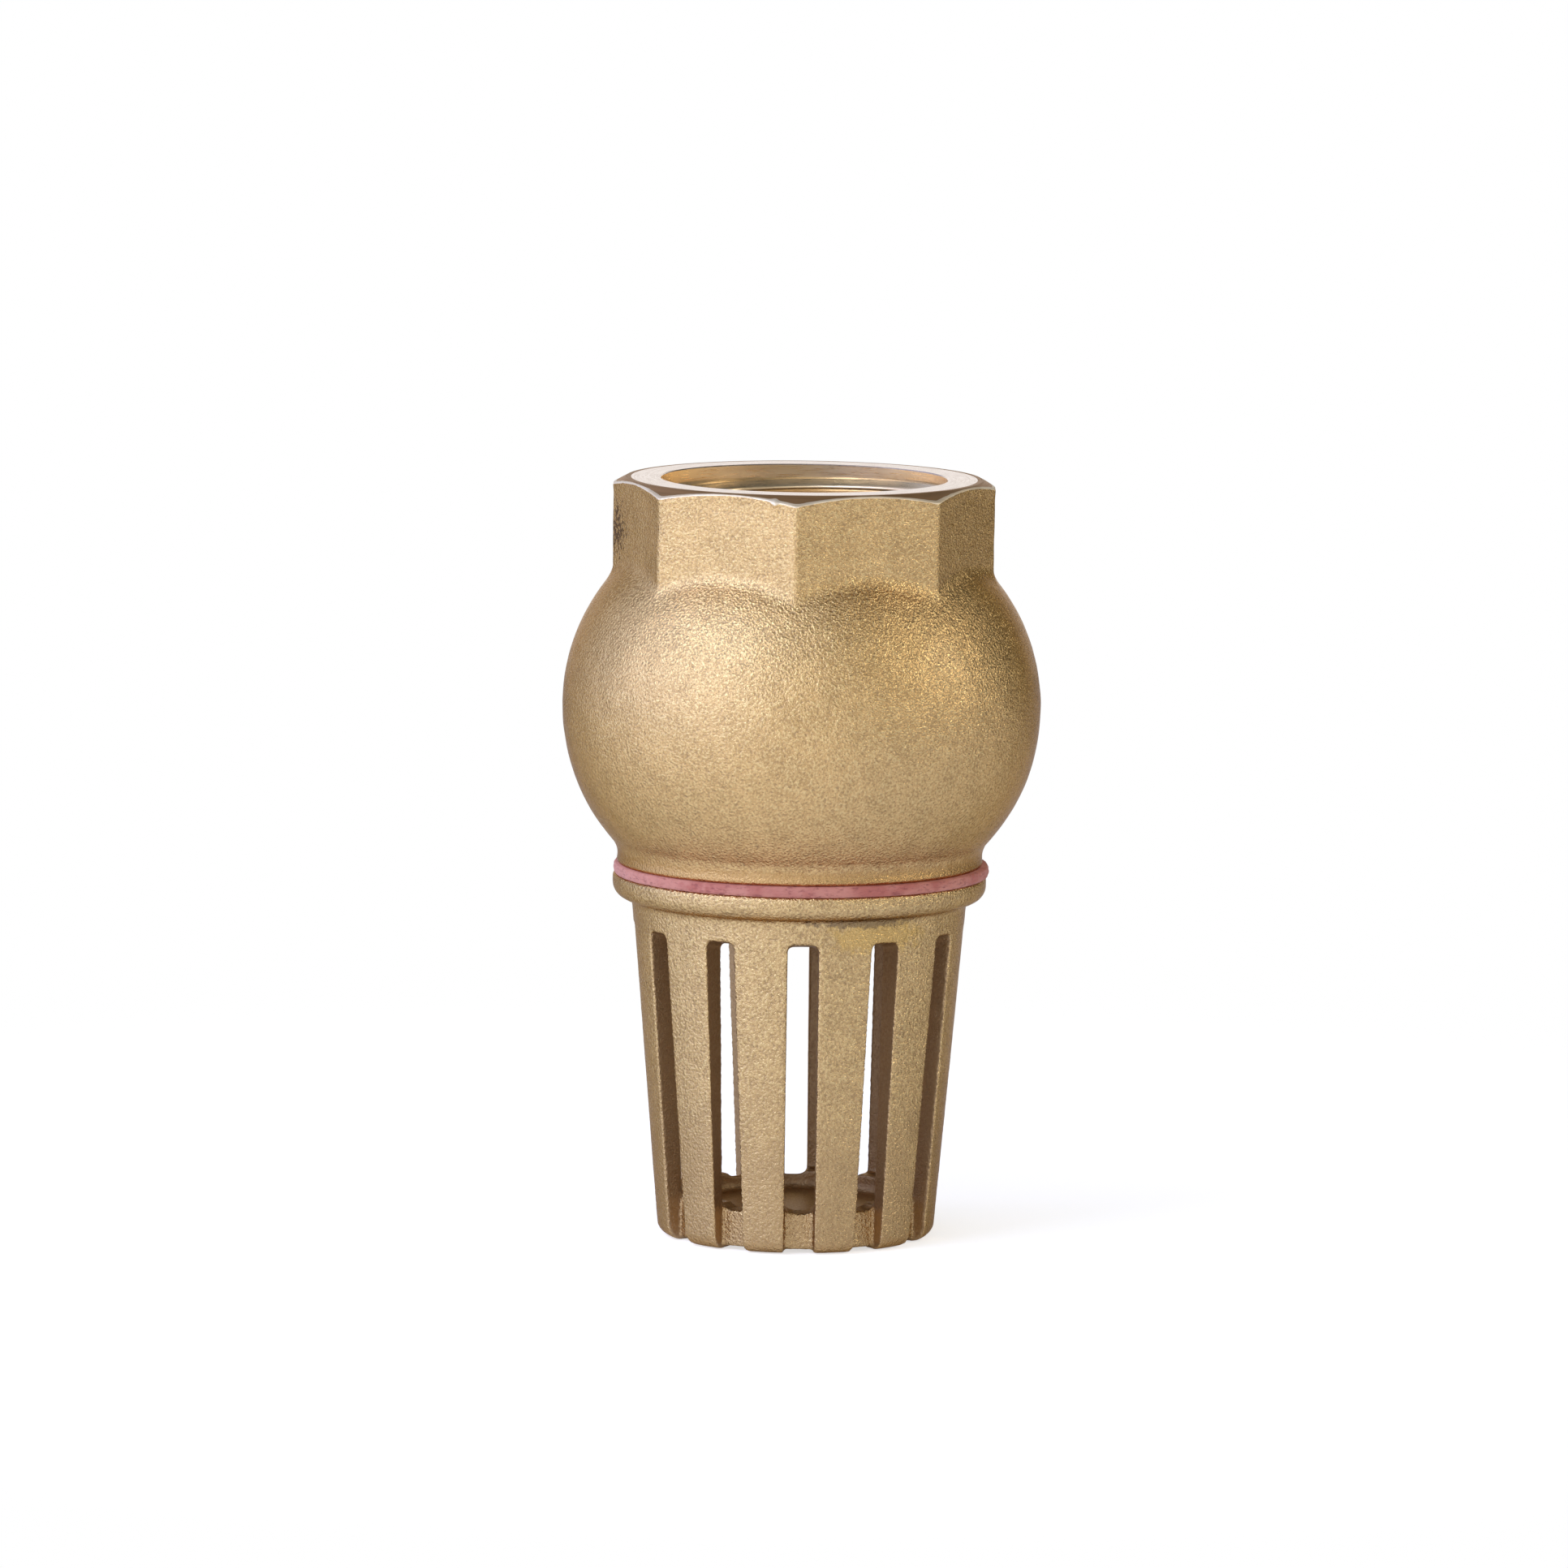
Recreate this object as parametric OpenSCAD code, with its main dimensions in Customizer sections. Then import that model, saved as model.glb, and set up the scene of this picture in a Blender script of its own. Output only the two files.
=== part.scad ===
// Foot valve for a 1 inch pipe: a ball-bodied non-return valve with a slotted strainer screwed in from below.
// Millimetres. +Z points up the pipe, z = 0 is the plane of the strainer's rib ends.

/* [Valve body] */
// Height of the body from its lower face to the machined top face
body_h = 46.05; // [42:0.05:60]
// Width of the octagonal collar across its flats
octagon_af = 43.35; // [41:0.05:50]
// Width of the collar over the two corners that are ground back at the parting line
parting_width = 45.72; // [44:0.02:60]
// Angle that a corner of the collar stands past the front once the strainer is tight
octagon_turn = -2.3; // [-22.5:0.1:22.5]
// Radius of the machined top face
top_face_r = 21.3; // [18.5:0.05:21.6]
// Slope of the collar's top chamfer below the horizontal
top_chamfer_angle = 28; // [10:1:45]
// Radius of the arc that bulges the ball
ball_arc_r = 24.14; // [22:0.02:28]
// Distance of that arc's centre from the axis
ball_arc_offset = 4.6; // [2:0.1:7]
// Thickness of the ball's wall
body_wall = 3.2; // [2.4:0.1:4.5]
// Outer radius of the neck below the ball
neck_r = 21.95; // [20.6:0.05:23.5]
// Height of the neck, from the body's lower face to its fillet
neck_h = 0.8; // [0.5:0.1:5]
// Radius of the fillet between neck and ball
neck_fillet = 2.8; // [1:0.1:3.5]

/* [Pipe thread] */
// Radius of the threaded bore at the crests
pipe_bore_r = 15.15; // [13:0.05:16.5]
// Depth of the threaded bore below the top face
pipe_bore_depth = 13; // [10:0.5:15]
// Radius of the smooth lead-in at the mouth
lead_in_r = 17.15; // [16.7:0.05:18]
// Depth of the lead-in
lead_in_depth = 1.6; // [0.8:0.1:3]

/* [Bridge] */
// Number of arms that carry the hub
arm_count = 3; // [3:1:4]
// Width of an arm
arm_width = 3.2; // [2:0.1:5]
// Height of an arm
arm_height = 4; // [2.5:0.1:5.5]
// Outer radius of the hub
hub_r = 6.5; // [5.8:0.1:8]
// Height of the hub
hub_h = 5.8; // [4:0.1:7]
// Drop of the bridge below the threaded bore
bridge_drop = 2; // [0.2:0.1:3]

/* [Gasket] */
// Thickness of the fibre ring when squeezed
gasket_t = 1.55; // [0.8:0.05:3]
// Outer radius of the fibre ring
gasket_r = 22.6; // [21:0.05:24]
// Sideways play that the ring has taken up
gasket_shift = 0.1; // [0:0.01:0.15]

/* [Strainer] */
// Height from the rib ends to the underside of the flange
basket_h = 40.75; // [36:0.05:60]
// Outer radius of the wall at the rib ends
basket_end_r = 16.66; // [15.8:0.02:18]
// Outer radius of the wall under the flange
basket_top_r = 20.12; // [19.4:0.02:21]
// Inner radius of the wall at the window sills
basket_inner_low_r = 15.2; // [14.8:0.05:15.6]
// Inner radius of the wall at the window heads
basket_inner_high_r = 16.1; // [15.7:0.05:17]
// Radius of the outer corner at the rib ends
rib_end_radius = 1.8; // [0.8:0.1:2.4]
// Outer radius of the flange
flange_r = 22.45; // [21.5:0.05:24]
// Thickness of the flange
flange_t = 3; // [2.4:0.1:5]
// Radius of the flange's lower edge
flange_edge_radius = 1.8; // [0.5:0.1:2]

/* [Strainer slots] */
// Number of slots
slot_count = 12; // [8:1:14]
// Width of a slot
slot_width = 3.7; // [2.5:0.1:4.2]
// Angle that the front slot stands past the front once the strainer is tight
strainer_turn = 1.6; // [-15:0.1:15]
// Height of the window sill above the rib ends
sill_z = 5.2; // [4:0.05:8]
// Rise of the ledge inside the ribs above the window sills
ledge_rise = 0.3; // [0.1:0.1:1.5]
// Distance from the flange's underside down to the window head, at the wall's outside
head_drop = 3.05; // [2:0.05:8]
// Slope of the window head, falling inwards
head_slope = 11; // [0:1:20]
// Radius of the window's lower corners
sill_corner_r = 1; // [0.3:0.1:1.2]
// Radius of the window's upper corners
head_corner_r = 0.6; // [0.3:0.1:1.2]

/* [Strainer cup] */
// Outer radius of the cup, which is the floor of the grooves between the ribs
cup_r = 14.95; // [14.2:0.05:15.1]
// Inner radius of the cup
cup_inner_r = 12.9; // [11:0.1:13.4]
// Height of the cup's underside above the rib ends
cup_lift = 0.4; // [0.2:0.1:1.5]
// Thickness of the cup's floor
cup_floor = 2.9; // [1.2:0.1:3.4]
// Radius of the inner corner between the cup's floor and its wall
cup_fillet = 1; // [0.3:0.1:1.4]

/* [Spigot and seat] */
// Outer radius of the threaded spigot
spigot_r = 18.65; // [17.9:0.05:19]
// Height of the spigot above the flange
spigot_h = 7.8; // [6:0.1:9]
// Radius of the seat bore
seat_bore_r = 13.5; // [12:0.1:14.2]
// Width of the seat lip
lip_width = 1.4; // [0.8:0.1:1.8]
// Height of the seat lip
lip_height = 0.8; // [0.4:0.1:1.5]
// Chamfer of the spigot's upper edge
spigot_chamfer = 0.8; // [0.3:0.1:1.2]

/* [Poppet] */
// Lift of the poppet from the seat to the stop
lift = 8; // [4:0.5:9]
// Outer radius of the disc
disc_r = 17; // [16.6:0.1:17.8]
// Thickness of the disc over the seal
disc_t = 2.5; // [1.8:0.1:4]
// Depth of the rim that holds the seal
rim_depth = 1.2; // [0.4:0.1:1.8]
// Outer radius of the seal ring
seal_r = 16; // [15.6:0.1:16.2]
// Thickness of the seal ring
seal_t = 2.3; // [1.9:0.1:4]
// Radius of the spindle
spindle_r = 3; // [2.4:0.1:3.4]
// Height of the spindle above the bridge's hub at rest
spindle_rise = 1.7; // [0.5:0.1:3]
// Radius of the spindle's stop shoulder
shoulder_r = 4.1; // [3.8:0.1:4.2]
// Radius of the guide's clamping flange
guide_flange_r = 12.3; // [8:0.1:12.5]
// Thickness of the guide's clamping flange
guide_flange_t = 1.8; // [1.2:0.1:3]
// Outer radius of the guide's hub
guide_hub_r = 5.6; // [5:0.1:8]
// Height of the guide's hub under its flange
guide_hub_h = 5; // [3:0.1:5.2]
// Height of the wings under the flange
wing_h = 10; // [6:0.1:10.4]
// Number of wings
wing_count = 3; // [3:1:4]
// Thickness of a wing
wing_t = 2.2; // [1.5:0.1:3]
// Thickness of the spring washer
washer_t = 1.4; // [1:0.1:1.6]
// Outer radius of the spring washer
washer_r = 5.2; // [4.8:0.1:5.6]
// Width of the nut across its flats
nut_af = 10; // [9:0.1:11]
// Height of the nut
nut_h = 3.2; // [2.4:0.1:3.6]

/* [Return spring] */
// Diameter of the spring's wire
wire_d = 0.7; // [0.5:0.05:0.8]
// Mean radius of the coils
coil_r = 4.95; // [4.9:0.05:5.4]
// Number of working turns
working_turns = 4.5; // [3:0.5:5]

/* [Clearances] */
// Gap between two threaded pieces, each drawn plain at its thread
thread_gap = 0.05; // [0.03:0.01:0.1]
// Running clearance of the spindle and of the wings, on the radius
running_gap = 0.07; // [0.03:0.01:0.1]
// Gap between the seal and the seat lip at rest
seat_gap = 0.15; // [0.05:0.05:0.3]
// Gap left between the shoulder and the hub at full lift
stop_gap = 0.3; // [0.2:0.1:0.5]
// Clearance of washers and rings on the piece that they ring
ring_gap = 0.15; // [0.05:0.05:0.3]

/* [Hidden] */
$fn = 96;
// Overshoot of a cut past the face that it opens
cut = 1;

// Heights of the stacked pieces
head_z = basket_h - head_drop;
gasket_z = basket_h + flange_t;
body_z = gasket_z + gasket_t;
// Centre of the neck's fillet, and the ball's centre, low enough that the ball cuts into the fillet's end
fillet_x = neck_r + neck_fillet;
fillet_z = body_z + neck_h;
fillet_bite = 0.03;
ball_z = fillet_z + sqrt(pow(ball_arc_r + neck_fillet, 2) - pow(fillet_x - ball_arc_offset, 2)) - fillet_bite;
top_z = body_z + body_h;
bore_end_z = top_z - pipe_bore_depth;
hub_top_z = bore_end_z - bridge_drop;
hub_z = hub_top_z - hub_h;
spigot_top_z = gasket_z + spigot_h;
seat_z = spigot_top_z + lip_height;

// Body
octagon_sides = 8;
octagon_r = octagon_af / 2 / cos(180 / octagon_sides);
chamber_arc_r = ball_arc_r - body_wall;
chamber_r = ball_arc_offset + chamber_arc_r;
neck_bore_r = spigot_r + thread_gap;
neck_bore_top_z = spigot_top_z + lip_height;
// Slope of the chamber's cored roof and floor, and the chamfer of the two threaded mouths
core_slope = 30;
mouth_chamfer = 0.6;

// Poppet, closed
seal_z = seat_z + seat_gap;
disc_z = seal_z + seal_t;
disc_top_z = disc_z + disc_t;
guide_hub_z = seal_z - guide_flange_t - guide_hub_h;
nut_z = guide_hub_z - washer_t - nut_h;
shoulder_top_z = hub_z - lift - stop_gap;
thread_end = 0.6;
edge_break = 0.4;
seat_ring_r = coil_r + wire_d;

// Colours
cast_brass = [0.72, 0.60, 0.40];
strainer_brass = [0.70, 0.59, 0.41];
turned_brass = [0.80, 0.68, 0.38];
fibre_pink = [0.80, 0.47, 0.46];
rubber_black = [0.10, 0.10, 0.11];
steel_grey = [0.72, 0.73, 0.75];

// Points of a circular arc in the plane of the profile
function arc(centre, r, from, to, steps = 8) =
    [for (i = [0:steps]) centre + r * [cos(from + (to - from) * i / steps), sin(from + (to - from) * i / steps)]];

// A plain ring between two radii
module ring(inner_r, outer_r, h) {
    difference() {
        cylinder(r = outer_r, h = h);
        translate([0, 0, -cut])
            cylinder(r = inner_r, h = h + 2 * cut);
    }
}

// Copies around the axis, the first one at the given angle
module around(count, first) {
    for (i = [0:count - 1])
        rotate([0, 0, first + i * 360 / count])
            children();
}

// ---- Valve body ----

// Half section of the ball and neck, solid to the axis
module ball_profile() {
    tangent_angle = atan2(ball_z - fillet_z, ball_arc_offset - fillet_x);
    fillet = arc([fillet_x, fillet_z], neck_fillet, 180, tangent_angle);
    intersection() {
        translate([ball_arc_offset, ball_z])
            circle(r = ball_arc_r);
        translate([0, fillet_z])
            square([ball_arc_offset + ball_arc_r, top_z - fillet_z - mouth_chamfer]);
    }
    polygon(concat([[0, ball_z], [0, body_z], [neck_r - edge_break, body_z], [neck_r, body_z + edge_break]], fillet));
}

// Octagonal collar, chamfered at the top and ground back at the parting line
module collar() {
    chamfer_drop = (octagon_r - top_face_r) * tan(top_chamfer_angle);
    intersection() {
        rotate([0, 0, octagon_turn - 90])
            translate([0, 0, ball_z])
                cylinder(r = octagon_r, h = top_z - ball_z, $fn = octagon_sides);
        rotate_extrude()
            polygon([[0, ball_z], [octagon_r, ball_z], [octagon_r, top_z - chamfer_drop], [top_face_r, top_z],
                [0, top_z]]);
        translate([-parting_width / 2, -octagon_r, ball_z])
            cube([parting_width, 2 * octagon_r, top_z - ball_z]);
    }
}

// Half section of everything that is hollow: pipe bore, cored chamber and threaded neck
module chamber_profile() {
    roof_rise = (chamber_r - pipe_bore_r) * tan(core_slope);
    floor_rise = (chamber_r - neck_bore_r) * tan(core_slope);
    translate([0, top_z - lead_in_depth])
        square([lead_in_r, lead_in_depth + cut]);
    translate([0, bore_end_z - mouth_chamfer])
        square([pipe_bore_r, pipe_bore_depth + mouth_chamfer]);
    intersection() {
        translate([ball_arc_offset, ball_z])
            circle(r = chamber_arc_r);
        polygon([[0, neck_bore_top_z], [neck_bore_r, neck_bore_top_z], [chamber_r, neck_bore_top_z + floor_rise],
            [chamber_r, bore_end_z - roof_rise], [pipe_bore_r, bore_end_z], [0, bore_end_z]]);
    }
    translate([0, body_z - cut])
        square([neck_bore_r, neck_bore_top_z - body_z + cut + edge_break]);
}

// Arms and hub that guide the spindle and stop its lift
module bridge() {
    arm_reach = ball_arc_offset + ball_arc_r - 2 * body_wall;
    intersection() {
        around(arm_count, 90)
            translate([0, -arm_width / 2, hub_top_z - arm_height])
                cube([arm_reach, arm_width, arm_height]);
        rotate_extrude()
            ball_profile();
    }
    translate([0, 0, hub_z])
        cylinder(r = hub_r, h = hub_h);
}

module valve_body() {
    color(cast_brass)
        difference() {
            union() {
                difference() {
                    union() {
                        rotate_extrude()
                            ball_profile();
                        collar();
                    }
                    rotate_extrude()
                        chamber_profile();
                }
                bridge();
            }
            translate([0, 0, hub_z - cut])
                cylinder(r = spindle_r + running_gap, h = hub_h + 2 * cut);
        }
}

// ---- Gasket ----

module fibre_gasket() {
    color(fibre_pink)
        translate([gasket_shift, 0, gasket_z])
            ring(spigot_r + gasket_shift + ring_gap, gasket_r, gasket_t);
}

// ---- Strainer ----

// Outer radius of the tapered wall at a height above the rib ends
function basket_r(z) = basket_end_r + (basket_top_r - basket_end_r) * z / basket_h;

// Half section of the strainer before its slots are cut
module strainer_profile() {
    taper = (basket_top_r - basket_end_r) / basket_h;
    taper_angle = atan(taper);
    corner = [basket_r(rib_end_radius) - rib_end_radius / cos(taper_angle), rib_end_radius];
    flange_corner = [flange_r - flange_edge_radius, basket_h + flange_edge_radius];
    cavity_roof = (basket_inner_high_r - seat_bore_r) * tan(core_slope);
    lip_r = seat_bore_r + lip_width;
    ledge_z = sill_z + ledge_rise;
    cup_floor_z = cup_lift + cup_floor;
    polygon(concat(
        [[0, cup_lift], [cup_inner_r, cup_lift], [cup_inner_r, 0]],
        arc(corner, rib_end_radius, -90, -taper_angle),
        [[basket_top_r, basket_h]],
        arc(flange_corner, flange_edge_radius, -90, 0),
        [[flange_r, gasket_z], [spigot_r, gasket_z], [spigot_r, spigot_top_z - spigot_chamfer],
            [spigot_r - spigot_chamfer, spigot_top_z], [lip_r, spigot_top_z], [lip_r, seat_z], [seat_bore_r, seat_z],
            [seat_bore_r, head_z + cavity_roof], [basket_inner_high_r, head_z], [basket_inner_low_r, ledge_z],
            [cup_inner_r, ledge_z]],
        arc([cup_inner_r - cup_fillet, cup_floor_z + cup_fillet], cup_fillet, 0, -90),
        [[0, cup_floor_z]]
    ));
}

// Front view of a window: small corners at the head, larger ones at the sill
module window_outline() {
    half = slot_width / 2;
    polygon(concat(
        arc([sill_corner_r - half, sill_z + sill_corner_r], sill_corner_r, 180, 270, 4),
        arc([half - sill_corner_r, sill_z + sill_corner_r], sill_corner_r, 270, 360, 4),
        arc([half - head_corner_r, head_z - head_corner_r], head_corner_r, 0, 90, 4),
        arc([head_corner_r - half, head_z - head_corner_r], head_corner_r, 90, 180, 4)
    ));
}

// What one slot takes away, lying along +X: a window through the wall and a groove that runs out below the sill
module slot() {
    reach = basket_top_r + cut;
    inside = cup_inner_r - cut;
    head_fall = (basket_r(head_z) - inside) * tan(head_slope);
    intersection() {
        rotate([90, 0, 90])
            translate([0, 0, inside])
                linear_extrude(reach - inside)
                    window_outline();
        rotate([90, 0, 0])
            translate([0, 0, -slot_width])
                linear_extrude(2 * slot_width)
                    polygon([[inside, sill_z - cut], [reach, sill_z - cut], [reach, head_z],
                        [basket_r(head_z), head_z], [inside, head_z - head_fall]]);
    }
    translate([cup_r, -slot_width / 2, -cut])
        cube([reach - cup_r, slot_width, sill_z + sill_corner_r + cut]);
    translate([inside, -slot_width / 2, -cut])
        cube([reach - inside, slot_width, cup_lift + cut]);
}

module strainer_basket() {
    color(strainer_brass)
        difference() {
            rotate_extrude()
                strainer_profile();
            around(slot_count, strainer_turn - 90)
                slot();
        }
}

// ---- Poppet ----

module spindle() {
    color(turned_brass) {
        translate([0, 0, nut_z - thread_end])
            cylinder(r = spindle_r, h = hub_top_z + spindle_rise - nut_z + thread_end - edge_break);
        translate([0, 0, hub_top_z + spindle_rise - edge_break])
            cylinder(r1 = spindle_r, r2 = spindle_r - edge_break, h = edge_break);
        translate([0, 0, disc_top_z])
            cylinder(r = shoulder_r, h = shoulder_top_z - disc_top_z);
    }
}

module valve_disc() {
    rim_t = disc_t / 2;
    seal_pocket_r = seal_r + ring_gap;
    color(turned_brass)
        rotate_extrude()
            polygon([[spindle_r + ring_gap, disc_z], [seal_pocket_r, disc_z], [seal_pocket_r, disc_z - rim_depth],
                [disc_r, disc_z - rim_depth], [disc_r, disc_z + rim_t - edge_break],
                [disc_r - edge_break, disc_z + rim_t], [seat_ring_r, disc_top_z],
                [spindle_r + ring_gap, disc_top_z]]);
}

module seal_ring() {
    color(rubber_black)
        translate([0, 0, seal_z])
            ring(spindle_r + ring_gap, seal_r, seal_t);
}

module wing_guide() {
    wing_r = seat_bore_r - running_gap;
    color(turned_brass)
        difference() {
            union() {
                translate([0, 0, seal_z - guide_flange_t])
                    cylinder(r = guide_flange_r, h = guide_flange_t);
                translate([0, 0, guide_hub_z])
                    cylinder(r = guide_hub_r, h = guide_hub_h);
                intersection() {
                    around(wing_count, 90)
                        translate([0, -wing_t / 2, seal_z - guide_flange_t - wing_h])
                            cube([seat_bore_r, wing_t, wing_h]);
                    rotate_extrude()
                        polygon([[nut_af / 2 + cut, seal_z - guide_flange_t - wing_h],
                            [wing_r - cut, seal_z - guide_flange_t - wing_h],
                            [wing_r, seal_z - guide_flange_t - wing_h + cut], [wing_r, seal_z - guide_flange_t],
                            [0, seal_z - guide_flange_t], [0, guide_hub_z], [nut_af / 2 + cut, guide_hub_z]]);
                }
            }
            translate([0, 0, guide_hub_z - cut])
                cylinder(r = spindle_r + ring_gap, h = guide_hub_h + guide_flange_t + 2 * cut);
        }
}

// Split ring, cut through at one place
module spring_washer() {
    split_angle = 12;
    color(steel_grey)
        translate([0, 0, nut_z + nut_h])
            rotate_extrude(angle = 360 - split_angle)
                translate([spindle_r + ring_gap, 0])
                    square([washer_r - spindle_r - ring_gap, washer_t]);
}

// Hexagon nut with its corners turned off on both faces
module spindle_nut() {
    hexagon_sides = 6;
    corner_r = nut_af / 2 / cos(180 / hexagon_sides);
    corner_drop = (corner_r - nut_af / 2) * tan(core_slope);
    color(turned_brass)
        translate([0, 0, nut_z])
            difference() {
                intersection() {
                    cylinder(r = corner_r, h = nut_h, $fn = hexagon_sides);
                    rotate_extrude()
                        polygon([[0, 0], [nut_af / 2, 0], [corner_r, corner_drop], [corner_r, nut_h - corner_drop],
                            [nut_af / 2, nut_h], [0, nut_h]]);
                }
                translate([0, 0, -cut])
                    cylinder(r = spindle_r + thread_gap, h = nut_h + 2 * cut);
            }
}

// ---- Return spring ----

// Height of the wire's centre, as a share of the free height between the two closed end turns
function spring_z(turn, turns, low, high) =
    turn < 1 ? low + wire_d * turn
    : turn > turns - 1 ? high - wire_d * (turns - turn)
    : low + wire_d + (high - low - 2 * wire_d) * (turn - 1) / (turns - 2);

module return_spring() {
    sides = 8;
    steps_per_turn = 20;
    turns = working_turns + 2;
    steps = round(turns * steps_per_turn);
    wire_r = wire_d / 2;
    low = disc_top_z + wire_r;
    high = hub_z - wire_r;
    points = [for (i = [0:steps]) let (a = 360 * i / steps_per_turn, z = spring_z(i / steps_per_turn, turns, low, high))
        for (j = [0:sides - 1]) let (b = 360 * j / sides, r = coil_r + wire_r * cos(b))
            [r * cos(a), r * sin(a), z + wire_r * sin(b)]];
    walls = [for (i = [0:steps - 1]) for (j = [0:sides - 1]) let (k = (j + 1) % sides)
        [i * sides + j, i * sides + k, (i + 1) * sides + k, (i + 1) * sides + j]];
    caps = [[for (j = [sides - 1:-1:0]) j], [for (j = [0:sides - 1]) steps * sides + j]];
    color(steel_grey)
        polyhedron(points = points, faces = concat(walls, caps));
}

valve_body();
strainer_basket();
fibre_gasket();
spindle();
valve_disc();
seal_ring();
wing_guide();
spring_washer();
spindle_nut();
return_spring();
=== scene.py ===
"""Visual model of a brass foot valve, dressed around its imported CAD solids.

The valve stands on its strainer's rib ends at z = 0, and +Z points up the pipe. Sizes are written in
millimetres and turned into metres when a mesh is made. Each sub-assembly is a class with build() and
dress() methods, and each finish is a small class that makes one node material.
"""

from __future__ import annotations

import logging
import math
from dataclasses import dataclass, field
from enum import Enum, IntEnum
from typing import Callable, Sequence

import bmesh
import bpy
import numpy as np
from mathutils import Euler, Matrix, Vector

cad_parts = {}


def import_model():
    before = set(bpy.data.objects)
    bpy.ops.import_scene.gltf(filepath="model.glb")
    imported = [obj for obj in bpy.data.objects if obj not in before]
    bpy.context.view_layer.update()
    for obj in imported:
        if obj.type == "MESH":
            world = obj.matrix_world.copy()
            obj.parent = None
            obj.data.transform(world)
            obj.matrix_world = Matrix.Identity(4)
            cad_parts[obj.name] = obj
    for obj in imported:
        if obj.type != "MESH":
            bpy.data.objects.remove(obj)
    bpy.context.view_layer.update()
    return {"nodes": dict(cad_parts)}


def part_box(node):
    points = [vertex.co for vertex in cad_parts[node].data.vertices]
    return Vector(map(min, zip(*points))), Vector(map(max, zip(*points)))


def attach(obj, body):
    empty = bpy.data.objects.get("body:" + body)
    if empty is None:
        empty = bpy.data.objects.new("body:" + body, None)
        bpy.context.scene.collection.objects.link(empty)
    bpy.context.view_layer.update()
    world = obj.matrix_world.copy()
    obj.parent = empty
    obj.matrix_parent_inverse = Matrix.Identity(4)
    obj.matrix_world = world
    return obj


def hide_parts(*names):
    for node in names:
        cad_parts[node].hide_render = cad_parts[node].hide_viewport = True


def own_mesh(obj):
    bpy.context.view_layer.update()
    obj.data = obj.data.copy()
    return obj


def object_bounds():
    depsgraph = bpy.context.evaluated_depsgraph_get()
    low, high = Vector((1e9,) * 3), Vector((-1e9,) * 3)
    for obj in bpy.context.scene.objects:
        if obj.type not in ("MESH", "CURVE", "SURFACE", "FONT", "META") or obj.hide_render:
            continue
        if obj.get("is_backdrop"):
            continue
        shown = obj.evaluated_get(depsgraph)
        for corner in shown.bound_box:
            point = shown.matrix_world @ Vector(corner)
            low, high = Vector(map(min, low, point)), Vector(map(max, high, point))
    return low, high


LOG = logging.getLogger("foot_valve")
MM = 0.001
WELD = 1e-5 * MM
FULL_TURN = 2.0 * math.pi
SHARP_ANGLE = math.radians(40)

Colour = tuple[float, float, float]
Point = tuple[float, float, float]
Profile = list[tuple[float, float]]
Offsets = tuple[tuple[float, float], ...]
Values = np.ndarray | float
Object = bpy.types.Object
Solid = bmesh.types.BMesh
Socket = bpy.types.NodeSocket
Material = bpy.types.Material


class Body(Enum):
    """The body that the fixed pieces ride on. The lifting pieces are CAD solids on their own body."""

    VALVE = "valve"


class Slot(Enum):
    """The material slots of the pieces."""

    CAST_BRASS = "cast_brass"
    STRAINER_BRASS = "strainer_brass"
    FIBRE = "fibre"
    TURNED_BRASS = "turned_brass"
    RUBBER = "nitrile_rubber"
    STEEL = "spring_steel"


class Skin(IntEnum):
    """What the valve body's faces wear, as indices of its materials."""

    CAST = 0
    FACED = 1
    CHAMFER = 2
    BORED = 3
    BURR = 4


# ---- Mesh tools ----


def ease(values: np.ndarray) -> np.ndarray:
    """Smooth step from 0 to 1, held at both ends."""
    held = np.clip(values, 0.0, 1.0)
    return held * held * (3.0 - 2.0 * held)


def soft_min(a: np.ndarray, b: np.ndarray, reach: float) -> np.ndarray:
    """Lower of two fields, with the corner between them rounded where they differ by less than the reach."""
    near = np.clip(reach - np.abs(a - b), 0.0, None) / reach
    return np.minimum(a, b) - near * near * reach / 4.0


def soft_max(a: np.ndarray, b: np.ndarray, reach: float) -> np.ndarray:
    """Upper of two fields, with the corner between them filled in the same way."""
    return -soft_min(-a, -b, reach)


def shares(count: int) -> np.ndarray:
    """Even shares of a way, without its start and up to 1."""
    return np.linspace(0.0, 1.0, count + 1)[1:]


def polar(radius: Values, angles: np.ndarray, height: Values) -> np.ndarray:
    """Points around the Z axis, with x, y and z along a new last axis."""
    return np.stack(np.broadcast_arrays(radius * np.cos(angles), radius * np.sin(angles), height), axis=-1)


@dataclass(frozen=True)
class Waves:
    """A smooth random field in space, made of many plane waves."""

    shortest: float
    longest: float
    seed: int
    count: int = 40

    def at(self, points: np.ndarray) -> np.ndarray:
        """Value of the field.

        Args:
            points: positions in millimetres, with x, y and z along the last axis.

        Returns:
            Values from -1 to 1, one for each position.
        """
        random = np.random.default_rng(self.seed)
        directions = random.normal(size=(self.count, 3))
        directions /= np.linalg.norm(directions, axis=1, keepdims=True)
        lengths = self.shortest * (self.longest / self.shortest) ** random.random(self.count)
        phases = random.random(self.count) * 2.0 * math.pi
        total = np.zeros(points.shape[:-1])
        for direction, length, phase in zip(directions, lengths, phases):
            total += np.sin(points @ direction * (2.0 * math.pi / length) + phase)
        return np.clip(total / math.sqrt(self.count) / 1.6, -1.0, 1.0)


Layers = tuple[tuple[Waves, float], ...]


def dents(points: np.ndarray, layers: Layers) -> np.ndarray:
    """Offsets of an uneven skin, which never stand out of the surface.

    Args:
        points: positions in millimetres.
        layers: random fields, each with the depth of its dents in millimetres.

    Returns:
        The offsets, one for each position.
    """
    return sum(depth * (waves.at(points) - 1.0) / 2.0 for waves, depth in layers)


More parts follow.
